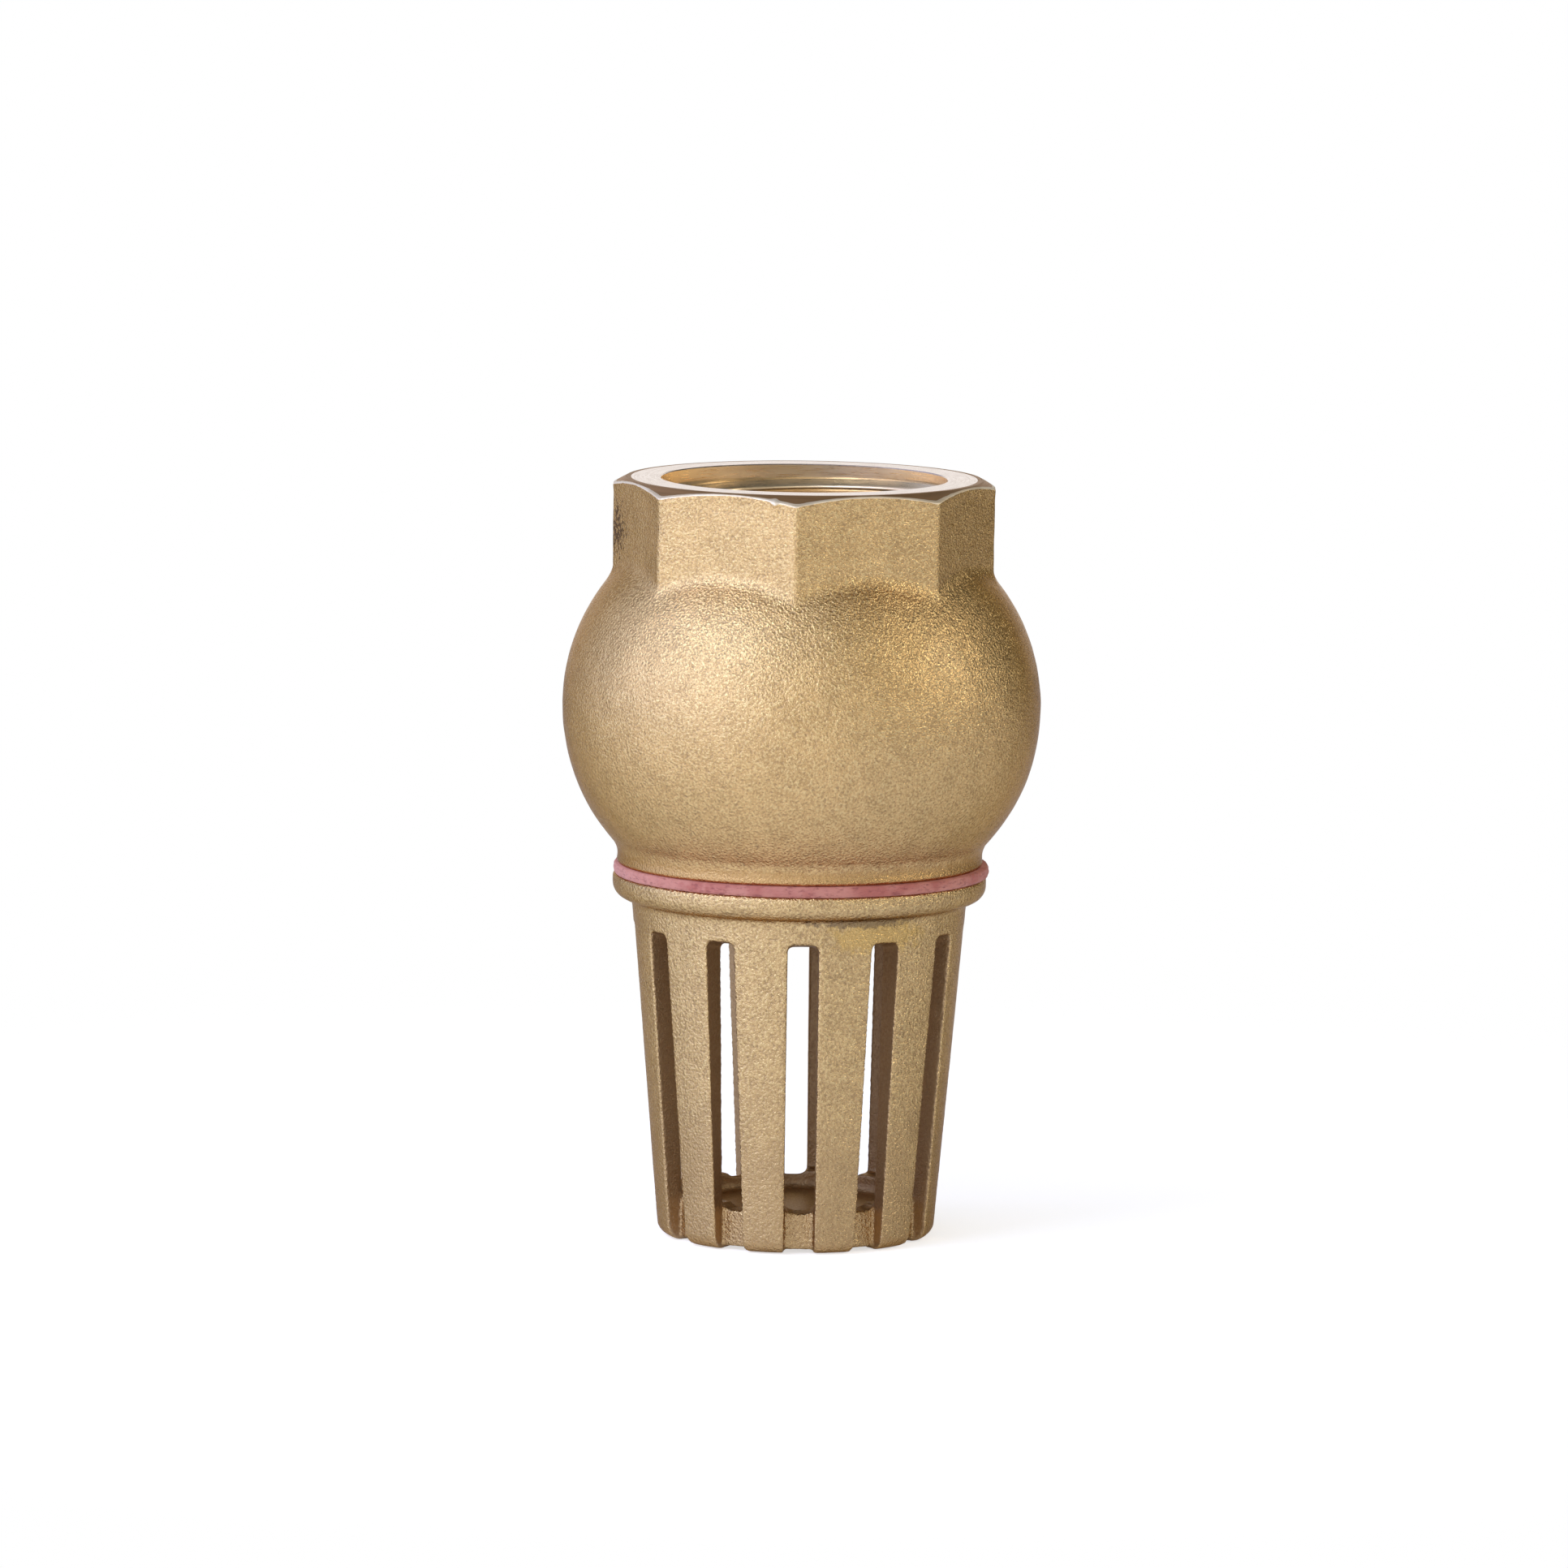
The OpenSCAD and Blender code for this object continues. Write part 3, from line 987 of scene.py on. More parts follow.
@dataclass
class ValveBody:
    """The casting: neck, ball, octagonal collar and threaded mouth, with the bridge inside."""

    low: float
    top: float
    finish: CastBrass = CastBrass(
        patches=(
            Patch((0.0, 0.0, 45.6), (90.0, 90.0, 1.5), (0.60, 0.35, 0.13), 0.75, 0.5),
            Patch((-22.7, -4.0, 85.0), (1.2, 5.0, 3.0), (0.12, 0.08, 0.06), 0.9, 2.2, 0.5),
        )
    )
    # Rows of points: even ones on the neck and ball, then ones that follow the collar
    columns: int = 880
    row_step: float = 0.14
    even_above_neck: float = 3.0
    even_below_collar: float = 3.0
    ball_rows: int = 119
    shoulder_rows: int = 21
    flat_rows: int = 33
    crowding: float = 1.25
    # Cast skin, and the rows over which its dents fade in and out
    skin: Layers = (
        (Waves(7.0, 22.0, 11), 0.10),
        (Waves(2.2, 5.0, 12), 0.035),
        (Waves(0.9, 1.8, 13), 0.014),
    )
    skin_fade: tuple[int, int] = (6, 4)
    # Neck, which bites into the gasket, and ball
    squeeze: float = 0.3
    neck_r: float = 21.95
    neck_edge: Offsets = ((-0.12, 0.08), (0.0, 0.35))
    fillet_r: float = 2.8
    ball_height: float = 18.63
    arc_r: float = 24.14
    arc_offset: float = 4.6
    ball_share: float = 0.97
    # Collar
    across_flats: float = 43.35
    corner_ease: float = 0.34
    turn: float = -2.3
    ground_width: float = 45.72
    ground_ease: float = 0.07
    collar_fillet: float = 1.0
    # Mouth
    face_r: float = 21.3
    chamfer_angle: float = 28.0
    cast_end: float = 0.18
    rim_inset: float = 0.08
    burr_height: float = 0.09
    burr_least: float = 0.02
    burr_share: float = 0.6
    burr_waves: Layers = ((Waves(1.2, 4.0, 14), 0.05), (Waves(0.4, 1.0, 15), 0.04))
    nub_x: float = -3.5
    nub_width: float = 0.42
    nub_height: float = 0.6
    edge_break: float = 0.12
    lead_in_r: float = 17.15
    lead_in_depth: float = 1.6
    lead_in_end: float = 0.4
    # Pipe thread
    root_r: float = 16.62
    crest_r: float = 15.15
    pitch: float = 2.309
    bore_depth: float = 13.0
    bore_chamfer: float = 0.4
    thread_start: float = 0.5
    thread_end: float = 2.0
    thread_fade: tuple[float, float] = (0.14, 0.35)
    thread_stations: int = 140
    # Chamber, whose arc ends at an angle in radians below the ball's centre
    wall: float = 3.2
    bore_step: float = 0.6
    roof_angle: float = 30.0
    roof_share: float = 0.62
    roof_inset: float = 4.9
    arc_end: float = -0.44
    neck_bore_r: float = 18.7
    neck_bore_top: float = 6.8
    neck_bore_low: float = 0.5
    # Bridge
    bridge_drop: float = 2.0
    hub_r: float = 6.5
    hub_height: float = 5.8
    guide_r: float = 3.07
    arm_reach: tuple[float, float] = (4.0, 24.0)
    arm_height: float = 4.0
    arm_width: tuple[float, float] = (3.2, 2.7)
    arm_angles: tuple[float, ...] = (90.0, 210.0, 330.0)
    casting: Object | None = None
    thread: Object | None = None
    bridge: Object | None = None

    @property
    def ball_z(self) -> float:
        """Height of the ball's centre."""
        return self.low + self.ball_height

    @property
    def bore_end(self) -> float:
        """Height at which the threaded bore ends."""
        return self.top - self.bore_depth

    @property
    def neck_top(self) -> float:
        """Height at which the neck's fillet starts, so that it meets the ball tangentially."""
        reach = self.arc_r + self.fillet_r
        return self.ball_z - math.sqrt(reach**2 - (self.neck_r + self.fillet_r - self.arc_offset) ** 2)

    def side(self, angles: np.ndarray, height: Values) -> np.ndarray:
        """Outer radius of the casting.

        Args:
            angles: angles about the axis, in radians.
            height: one height, or one for each angle.

        Returns:
            The radius at each angle and height.
        """
        heights = np.broadcast_to(height, angles.shape)
        rise = np.clip(heights - self.ball_z, -self.arc_r, self.arc_r)
        ball = self.arc_offset + np.sqrt(np.clip(self.arc_r**2 - rise**2, 0.0, None))
        ball = np.where(heights > self.ball_z + self.arc_r * self.ball_share, 0.0, ball)
        up = heights - self.neck_top
        depth = np.sqrt(np.clip(self.fillet_r**2 - np.clip(up, 0.0, None) ** 2, 0.0, None))
        top_of_fillet = self.fillet_r * (self.ball_z - self.neck_top) / (self.arc_r + self.fillet_r)
        ball = np.where(up < top_of_fillet, self.neck_r + self.fillet_r - depth, ball)
        return np.where(heights > self.ball_z, soft_max(ball, self.collar(angles), self.collar_fillet), ball)

    def collar(self, angles: np.ndarray) -> np.ndarray:
        """Radius of the octagonal collar, with its corners eased and two of them ground flat.

        Args:
            angles: angles about the axis, in radians.

        Returns:
            The radius at each angle.
        """
        sector = math.radians(45.0)
        first = math.radians(self.turn - 90.0 + 22.5)
        place = np.mod(angles - first + sector / 2.0, sector) - sector / 2.0
        half = self.across_flats / 2.0
        other = np.where(place > 0.0, place - sector, place + sector)
        flats = soft_min(half / np.cos(place), half / np.cos(other), self.corner_ease)
        ground = self.ground_width / 2.0 / np.clip(np.abs(np.cos(angles)), 0.05, None)
        return soft_min(flats, ground, self.ground_ease)

    def build(self) -> None:
        """Makes the casting, the pipe thread and the bridge."""
        rings = Rings(np.linspace(0.0, FULL_TURN, self.columns, endpoint=False))
        collar = self.collar(rings.angles)
        slope = math.tan(math.radians(self.chamfer_angle))
        rim = self.top - (collar - self.face_r) * slope
        burr, nub = self._burr(polar(collar, rings.angles, rim))
        first, last = self._outside(rings, collar, rim - self.cast_end - burr)
        self._rim(rings, collar, rim, burr, nub)
        self._mouth(rings)
        self._chamber(rings)
        points = np.stack(rings.points)
        self._roughen(points, first, last)
        grid = Grid(points, sharp_rows=rings.sharp, row_materials=rings.skins)
        self.casting = grid.object("valve_body_casting")
        LOG.info("casting: %d faces", len(self.casting.data.polygons))
        self.thread = self._thread()
        self.bridge = self._bridge()

    def _burr(self, rim: np.ndarray) -> tuple[np.ndarray, np.ndarray]:
        """The burr that the chamfer leaves along the collar's rim.

        Args:
            rim: points along the rim.

        Returns:
            The burr's height, and the share of the nub at the front.
        """
        burr = sum((height * waves.at(rim) for waves, height in self.burr_waves), self.burr_height)
        nub = np.exp(-(((rim[:, 0] - self.nub_x) / self.nub_width) ** 2)) * (rim[:, 1] < 0.0)
        return np.maximum(burr, self.burr_least) + self.nub_height * nub, nub

    def _outside(self, rings: Rings, collar: np.ndarray, end: np.ndarray) -> tuple[int, int]:
        """Rows of the cast outside, from the faced end of the neck up to the burr.

        Args:
            rings: the rows, which are added to.
            collar: radius of the collar.
            end: height of the last row at each angle.

        Returns:
            The first cast row, and the row after the last one.
        """
        angles, low = rings.angles, self.low - self.squeeze
        rings.add(self.neck_bore_r + 0.5, low, Skin.FACED, True)
        rings.add(self.neck_r - 0.4, low, Skin.FACED)
        first = len(rings.points)
        for out, up in self.neck_edge:
            rings.add(self.neck_r + out, low + up, Skin.CAST)
        shoulder = self.ball_z + np.sqrt(self.arc_r**2 - (collar - self.arc_offset) ** 2)
        neck_end, even_end = self.low + self.even_above_neck, float(shoulder.min()) - self.even_below_collar
        heights = list(np.arange(low + 0.5, neck_end, self.row_step))
        low_angle, high_angle = (math.asin((z - self.ball_z) / self.arc_r) for z in (neck_end, even_end))
        turns = np.linspace(low_angle, high_angle, self.ball_rows + 1)[1:]
        heights += [self.ball_z + self.arc_r * math.sin(turn) for turn in turns]
        heights += [even_end + (shoulder - even_end) * share for share in shares(self.shoulder_rows)]
        heights += [shoulder + (end - shoulder) * share**self.crowding for share in shares(self.flat_rows)]
        for height in heights:
            rings.add(self.side(angles, height), height, Skin.CAST)
        return first, len(rings.points)

    def _rim(
        self, rings: Rings, collar: np.ndarray, rim: np.ndarray, burr: np.ndarray, nub: np.ndarray
    ) -> None:
        """Rows over the burr and down the chamfer.

        Args:
            rings: the rows, which are added to.
            collar: radius of the collar.
            rim: height at which collar and chamfer meet.
            burr: height of the burr.
            nub: share of the nub.
        """
        slope = math.tan(math.radians(self.chamfer_angle))
        # Each row's inset and share of the nub, then its drop and share of the burr
        for inset, lump, drop, share, skin in (
            (0.015, 0.0, 0.10, 1.0, Skin.CAST),
            (0.02, 0.32, 0.07, 0.5, Skin.BURR),
            (0.04, 0.20, 0.04, 0.0, Skin.BURR),
        ):
            rings.add(collar - inset + nub * lump, rim - drop - burr * share, skin)
        start_r = collar - self.rim_inset - burr * self.burr_share
        rings.add(start_r, rim + (self.rim_inset + burr * self.burr_share) * slope - 0.01, Skin.BURR)
        for share in shares(5):
            radius = start_r + (self.face_r - start_r) * share
            rings.add(radius, self.top - (radius - self.face_r) * slope, Skin.CHAMFER, share == 1.0)

    def _mouth(self, rings: Rings) -> None:
        """Rows over the face and down the bored mouth.

        Args:
            rings: the rows, which are added to.
        """
        for share in shares(7):
            radius = self.face_r + (self.lead_in_r + self.edge_break - self.face_r) * share
            rings.add(radius, self.top, Skin.FACED, share == 1.0)
        rings.add(self.lead_in_r, self.top - self.edge_break, Skin.BORED, True)
        rings.add(self.lead_in_r, self.top - self.lead_in_depth * 0.5, Skin.BORED)
        rings.add(self.lead_in_r, self.top - self.lead_in_depth, Skin.BORED, True)
        start = self.top - self.lead_in_depth - self.lead_in_end
        bore_end = self.bore_end + self.bore_chamfer
        rings.add(self.root_r, start, Skin.BORED, True)
        for share in shares(4):
            rings.add(self.root_r, start + (bore_end - start) * share, Skin.BORED, share == 1.0)

    def _chamber(self, rings: Rings) -> None:
        """Rows of the chamber, from the end of the bore down to the bored neck.

        Args:
            rings: the rows, which are added to.
        """
        step_r, inner_arc = self.crest_r + self.bore_step, self.arc_r - self.wall
        chamber_r = self.arc_offset + self.arc_r - self.wall
        rings.add(step_r, self.bore_end, Skin.CAST)
        roof_slope = math.tan(math.radians(self.roof_angle))
        roof = self.bore_end - (chamber_r - self.crest_r) * roof_slope * self.roof_share
        for share in shares(4):
            radius = step_r + (chamber_r - self.roof_inset - self.crest_r) * share
            rings.add(radius, self.bore_end + (roof - self.bore_end) * share, Skin.CAST)
        start = math.asin(np.clip((roof - self.ball_z) / inner_arc, -1.0, 1.0))
        for turn in np.linspace(start, self.arc_end, 26)[1:]:
            height = self.ball_z + inner_arc * math.sin(turn)
            rings.add(self.arc_offset + inner_arc * math.cos(turn), height, Skin.CAST)
        chamfer_top = self.low + self.neck_bore_top + self.bore_chamfer
        rings.add(self.neck_bore_r + self.bore_chamfer, chamfer_top, Skin.CAST)
        rings.add(self.neck_bore_r, self.low + self.neck_bore_top, Skin.BORED, True)
        rings.add(self.neck_bore_r, self.low + self.neck_bore_low, Skin.BORED, True)

    def _roughen(self, points: np.ndarray, first: int, last: int) -> None:
        """Gives the cast outside its uneven skin, always inwards.

        Args:
            points: the grid's points, changed in place.
            first: first cast row.
            last: row after the last cast row.
        """
        cast = points[first:last]
        depth = dents(cast, self.skin)
        fade_in, fade_out = self.skin_fade
        rows = np.arange(last - first)[:, None]
        depth *= ease(rows / fade_in) * (1.0 - ease((rows - (last - first - fade_out)) / fade_out))
        radius = np.linalg.norm(cast[..., :2], axis=-1)
        cast[..., :2] *= (1.0 + depth / radius)[..., None]

    def _thread(self) -> Object:
        """The pipe thread's ridge, fading out at both ends.

        Returns:
            The ridge.
        """
        start = self.top - self.lead_in_depth - self.thread_start
        turns = (self.bore_depth - self.lead_in_depth - self.thread_end) / self.pitch
        flank = [(-1.1, -0.1), (-0.92, 0.14), (-0.72, 0.46), (-0.44, 1.0), (-0.24, 1.32), (0.0, 1.45)]
        shape = np.array([*flank, *((-along, tall) for along, tall in flank[-2::-1])])
        fade_in, fade_out = self.thread_fade

        def line(t: np.ndarray) -> tuple[float, np.ndarray]:
            """The thread's root line, down the bore."""
            return self.root_r, start - t * self.pitch

        def section(t: np.ndarray) -> np.ndarray:
            """The ridge's section, which grows from nothing and fades out again."""
            fade = ease(t / fade_in) * ease((turns - t) / fade_out)
            along, rise = shape[:, 0], shape[:, 1]
            tall = np.where(rise > 0.0, rise, 0.0) * fade[:, None] + np.minimum(rise, 0.0)
            return np.stack([-tall, np.broadcast_to(along, tall.shape)], axis=-1)

        return helix("valve_body_pipe_thread", line, turns, section, self.thread_stations)

    def _bridge(self) -> Object:
        """Three arms and the hub that guides the spindle.

        Returns:
            The bridge.
        """
        high = self.bore_end - self.bridge_drop
        low = high - self.hub_height
        outline = [(self.guide_r, low), (self.hub_r, low), (self.hub_r, high), (self.guide_r, high)]
        hub = in_millimetres(lathe("valve_body_bridge", rounded(outline, 0.5)))
        arm = slab(*self.arm_reach, high - self.arm_height, high, *self.arm_width)
        arms = around(arm, "arms", self.arm_angles)
        return Casting(voxel=0.3, smoothing=8).form(cut(hub, [arms], union=True))

    def dress(self) -> None:
        """Gives the pieces their finishes and joins them to the valve."""
        finishes = (
            self.finish,
            # Painted shade: a darker copy of the cast brass for the bridge inside the chamber
            CastBrass("cast_brass_core", (0.60, 0.43, 0.24), (0.50, 0.35, 0.18), (0.36, 0.24, 0.12)),
            # Machined brass on the top face, made pale pinkish-white: painted reflection of the white
            # backdrop
            TurnedBrass("faced_brass", (0.93, 0.775, 0.67), (0.90, 0.74, 0.62), roughness=0.24),
            # Painted shade: a darker brown copy of the machined brass for the chamfer
            TurnedBrass("chamfer_brass", (0.60, 0.35, 0.165), (0.46, 0.27, 0.12), roughness=0.5),
            TurnedBrass("bored_brass", (1.0, 0.80, 0.52), (0.86, 0.64, 0.38), roughness=0.30, vertical=True),
            # A real burr and nub, coloured pale cream as a painted highlight along the collar's top edge
            TurnedBrass("burr_brass", (1.0, 0.87, 0.66), (0.88, 0.70, 0.46), roughness=0.6),
        )
        cast, inner, face, chamfer, bore, burr = [finish.make() for finish in finishes]
        wear(self.casting, Slot.CAST_BRASS, cast, face, chamfer, bore, burr)
        wear(self.thread, Slot.CAST_BRASS, bore)
        wear(self.bridge, Slot.CAST_BRASS, inner)
        for piece in (self.casting, self.thread, self.bridge):
            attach(piece, Body.VALVE.value)
        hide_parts("valve_body")


# ---- Strainer ----


@dataclass
class Strainer:
    """The slotted basket with its flange, and the machined spigot that carries the seat."""

    height: float
    finish: CastBrass = CastBrass(
        name="strainer_brass",
        pale=(0.74, 0.495, 0.225),
        dark=(0.60, 0.395, 0.178),
        grain=0.33,
        grain_depth=0.20,
        inner_r=15.0,
        patches=(
            # Darker towards the rib ends
            Patch((0.0, 0.0, -4.0), (60.0, 60.0, 26.0), (0.56, 0.37, 0.18), 0.55, 0.5, 4.0),
            # A yellower patch on the wall's front right, under the flange
            Patch((9.5, -17.5, 38.8), (7.0, 7.0, 2.6), (0.78, 0.50, 0.15), 0.6),
            # Dark band just under the flange at the front right: a stain, and painted shadow of the flange
            Patch((8.0, -18.8, 40.45), (8.0, 8.0, 0.8), (0.22, 0.15, 0.09), 0.7, 1.3, 0.8),
        ),
    )
    # Wall and flange
    end_r: float = 16.66
    top_r: float = 20.12
    inner_low_r: float = 14.95
    inner_high_r: float = 16.1
    edge_r: float = 1.8
    cove: Offsets = ((-0.06, -0.8), (0.06, -0.3), (0.5, 0.0))
    flange_r: float = 22.45
    flange_t: float = 3.0
    flange_chamfer: float = 0.25
    # Slots: each corner is a list of insets from the side, and distances from the sill or the head
    slots: int = 12
    slot_width: float = 3.62
    turn: float = 1.6
    sill: float = 5.2
    sill_fall: float = 0.17
    sill_corner: Offsets = ((0.0, 0.9), (0.3, 0.25), (0.95, 0.0))
    head_drop: float = 3.05
    head_angle: float = 11.0
    head_corner: Offsets = ((0.0, 0.6), (0.18, 0.18), (0.6, 0.0))
    # Cup
    cup_r: float = 14.95
    cup_inner_r: float = 12.9
    cup_lift: float = 0.4
    cup_floor: float = 2.9
    cup_fillet: float = 1.0
    ledge: float = 0.3
    # Spigot
    seat_r: float = 13.5
    throat_rise: float = 1.5
    spigot_r: float = 18.6
    spigot_height: float = 7.8
    spigot_sink: float = 0.6
    spigot_chamfer: float = 0.8
    lip_width: float = 1.4
    lip_height: float = 0.8
    basket: Object | None = None
    spigot: Object | None = None

    @property
    def flange_top(self) -> float:
        """Height of the flange's upper face."""
        return self.height + self.flange_t

    @property
    def head(self) -> float:
        """Height of the slots' heads at the wall's outside."""
        return self.height - self.head_drop

    def wall(self, height: float) -> float:
        """Outer radius of the tapered wall at a height above the rib ends."""
        return self.end_r + (self.top_r - self.end_r) * height / self.height

    def build(self) -> None:
        """Makes the slotted basket and the spigot."""
        blank = in_millimetres(lathe("strainer_basket_casting", self._outline(), 240))
        angles = [self.turn - 90.0 + i * 360.0 / self.slots for i in range(self.slots)]
        tools = [around(shape, "slots", angles) for shape in self._cutters()]
        form = Casting(voxel=0.2, smoothing=7, wave=0.03, peel=0.016, seed=21)
        self.basket = form.form(cut(blank, tools))
        LOG.info("basket: %d faces", len(self.basket.data.polygons))
        low, high = self.flange_top - self.spigot_sink, self.flange_top + self.spigot_height
        lip_r = self.seat_r + self.lip_width
        outline = [
            (self.seat_r, low),
            (self.spigot_r, low),
            (self.spigot_r, high - self.spigot_chamfer),
            (self.spigot_r - self.spigot_chamfer, high),
            (lip_r, high),
            (lip_r, high + self.lip_height),
            (self.seat_r, high + self.lip_height),
        ]
        self.spigot = lathe("strainer_basket_spigot", rounded(outline, 0.15))

    def _outline(self) -> Profile:
        """Outline of the turned blank: cup, rib ends, wall, flange and inside.

        Returns:
            The closed outline.
        """

        def edge(radius: float, low: float, end: float) -> Profile:
            """The rounding of an edge, from level up to an angle in radians."""
            size = self.edge_r
            angles = np.linspace(0.0, end, 9)
            return [(radius + size * math.sin(a), low + size - size * math.cos(a)) for a in angles]

        turns = np.linspace(0.0, 1.57, 7)
        ledge, floor = self.sill + self.ledge, self.cup_lift + self.cup_floor
        fillet, corner = self.cup_fillet, self.cup_inner_r - self.cup_fillet
        return [
            (0.0, self.cup_lift),
            (self.cup_inner_r, self.cup_lift),
            (self.cup_inner_r, 0.0),
            *edge(self.wall(self.edge_r) - self.edge_r, 0.0, 1.49),
            *((self.top_r + out, self.height + up) for out, up in self.cove),
            *edge(self.flange_r - self.edge_r, self.height, 1.57),
            (self.flange_r, self.flange_top - self.flange_chamfer),
            (self.flange_r - self.flange_chamfer, self.flange_top),
            (self.seat_r, self.flange_top),
            (self.seat_r, self.head + self.throat_rise),
            (self.inner_high_r, self.head),
            (self.inner_low_r, ledge),
            (self.cup_inner_r, ledge),
            *((corner + fillet * math.cos(a), floor + fillet * (1.0 - math.sin(a))) for a in turns),
            (0.0, floor),
        ]

    def _cutters(self) -> list[Solid]:
        """What one slot takes away: a window with a falling head, a groove and a relief under the cup.

        The cutters reach past the wall, and their sides are set in a little from each other.

        Returns:
            The three shapes, lying along +X.
        """
        half = self.slot_width / 2.0
        inside, outside = self.cup_inner_r - 1.0, self.top_r + 2.0

        def opening(x: float, top: float, sill: float) -> list[Point]:
            """The window's section at a distance from the axis."""
            low = [(half - inset, sill + up) for inset, up in self.sill_corner]
            high = [(half - inset, top - down) for inset, down in self.head_corner]
            left_low, left_high = ([(-y, z) for y, z in corner] for corner in (low, high))
            return [(x, y, z) for y, z in left_low + low[::-1] + high + left_high[::-1]]

        slope = math.tan(math.radians(self.head_angle))
        head = self.head + slope * (outside - self.wall(self.head))
        sill_outside = self.sill - (outside - self.cup_inner_r) * self.sill_fall
        near = opening(inside, head - slope * (outside - inside), self.sill)
        groove, relief = 2.0 * (half - 0.02), 2.0 * (half - 0.04)
        return [
            loft(near, opening(outside, head, sill_outside)),
            slab(self.cup_r, outside - 0.3, -1.0, self.sill + 1.2, groove, groove),
            slab(inside, outside - 0.6, -2.0, self.cup_lift, relief, relief),
        ]

    def dress(self) -> None:
        """Gives both pieces their finishes and joins them to the valve."""
        wear(self.basket, Slot.STRAINER_BRASS, self.finish.make())
        wear(self.spigot, Slot.STRAINER_BRASS, TurnedBrass(name="spigot_brass", vertical=True).make())
        for piece in (self.basket, self.spigot):
            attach(piece, Body.VALVE.value)
        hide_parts("strainer_basket")


@dataclass
class Gasket:
    """The fibre ring that is squeezed between flange and body."""

    low: float
    thickness: float = 1.25
    inner_r: float = 18.9
    outer_r: float = 22.6
    shift: float = 0.2
    swell: float = 0.16
    inner_share: float = 0.995
    fray: Layers = ((Waves(4.0, 14.0, 31), 0.10), (Waves(0.5, 1.6, 32), 0.10))
    ring: Object | None = None

    def build(self) -> None:
        """Makes the ring with its frayed, slightly swollen edge."""
        angles = np.linspace(0.0, FULL_TURN, 720, endpoint=False)
        sides = np.linspace(-1.0, 1.0, 13)
        rows = [(self.inner_r, -self.inner_share)]
        for side in sides:
            rows.append((self.outer_r + (self.swell * (1.0 - abs(side) ** 3.0) - self.swell), side))
        rows.append((self.inner_r, self.inner_share))
        middle = self.thickness / 2.0
        grid = np.stack([polar(radius, angles, self.low + middle * (1.0 + side)) for radius, side in rows])
        grid[..., 0] += self.shift
        edge = grid[1:-1]
        edge[..., :2] *= (1.0 + dents(edge, self.fray) / self.outer_r)[..., None]
        self.ring = Grid(grid).object("fibre_gasket_ring")

    def dress(self) -> None:
        """Gives the ring its finish and joins it to the valve."""
        wear(self.ring, Slot.FIBRE, Fibre().make())
        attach(self.ring, Body.VALVE.value)
        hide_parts("fibre_gasket")


# ---- Poppet and spring ----


@dataclass
class Poppet:
    """The lifting pieces: the CAD solids with broken edges and their own finishes."""

    nodes: dict[str, Object]
    edge: float = 0.12

    def build(self) -> None:
        """Breaks the edges of the machined pieces."""
        for name in ("spindle", "valve_disc", "wing_guide", "spring_washer", "spindle_nut", "seal_ring"):
            piece = self.nodes[name]
            bevel = piece.modifiers.new("edge_break", "BEVEL")
            bevel.width = self.edge * MM
            bevel.segments = 2
            bevel.limit_method = "ANGLE"
            bevel.angle_limit = SHARP_ANGLE
            bevel.harden_normals = True

    def dress(self) -> None:
        """Gives each piece its finish."""
        flat, bar = TurnedBrass().make(), TurnedBrass(name="turned_brass_bar", vertical=True).make()
        for name in ("valve_disc", "wing_guide", "spindle_nut"):
            wear(self.nodes[name], Slot.TURNED_BRASS, flat)
        wear(self.nodes["spindle"], Slot.TURNED_BRASS, bar)
        wear(self.nodes["seal_ring"], Slot.RUBBER, Rubber().make())
        wear(self.nodes["spring_washer"], Slot.STEEL, Steel(name="washer_steel").make())


@dataclass
class ReturnSpring:
    """The coil spring between disc and bridge, which shortens as the poppet lifts."""

    low: float
    high: float
    lift: float = 8.0
    wire: float = 0.7
    radius: float = 4.95
    turns: float = 6.5
    facets: int = 14
    stations: int = 60
    coil: Object | None = None

    def build(self) -> None:
        """Makes the coil with closed end turns."""
        half = self.wire / 2.0
        low, high, turns, wire = self.low + half, self.high - half, self.turns, self.wire
        sweep = np.linspace(0.0, FULL_TURN, self.facets, endpoint=False)
        shape = np.stack([np.cos(sweep), np.sin(sweep)], axis=-1) * half

        def line(t: np.ndarray) -> tuple[float, np.ndarray]:
            """The wire's middle line, with one closed turn at each end."""
            free = low + wire + (high - low - 2.0 * wire) * (t - 1.0) / (turns - 2.0)
            risen = np.where(t > turns - 1.0, high - wire * (turns - t), free)
            return self.radius, np.where(t < 1.0, low + wire * t, risen)

        def section(t: np.ndarray) -> np.ndarray:
            """The round wire, the same all the way."""
            return np.broadcast_to(shape, (len(t), *shape.shape))

        self.coil = helix("return_spring_coil", line, turns, section, self.stations)

    def dress(self) -> None:
        """Gives the coil its finish, joins it to the valve and gives it a mesh of its own."""
        wear(self.coil, Slot.STEEL, Steel().make())
        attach(self.coil, Body.VALVE.value)
        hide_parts("return_spring")
        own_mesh(self.coil)


# ---- Studio ----


def direction(azimuth: float, elevation: float) -> Vector:
    """Direction from the valve.

    Args:
        azimuth: degrees from the front, positive to the right.
        elevation: degrees above the horizon.

    Returns:
        The unit vector.
    """
    turn, lift = math.radians(azimuth), math.radians(elevation)
    return Vector((math.sin(turn) * math.cos(lift), -math.cos(turn) * math.cos(lift), math.sin(lift)))


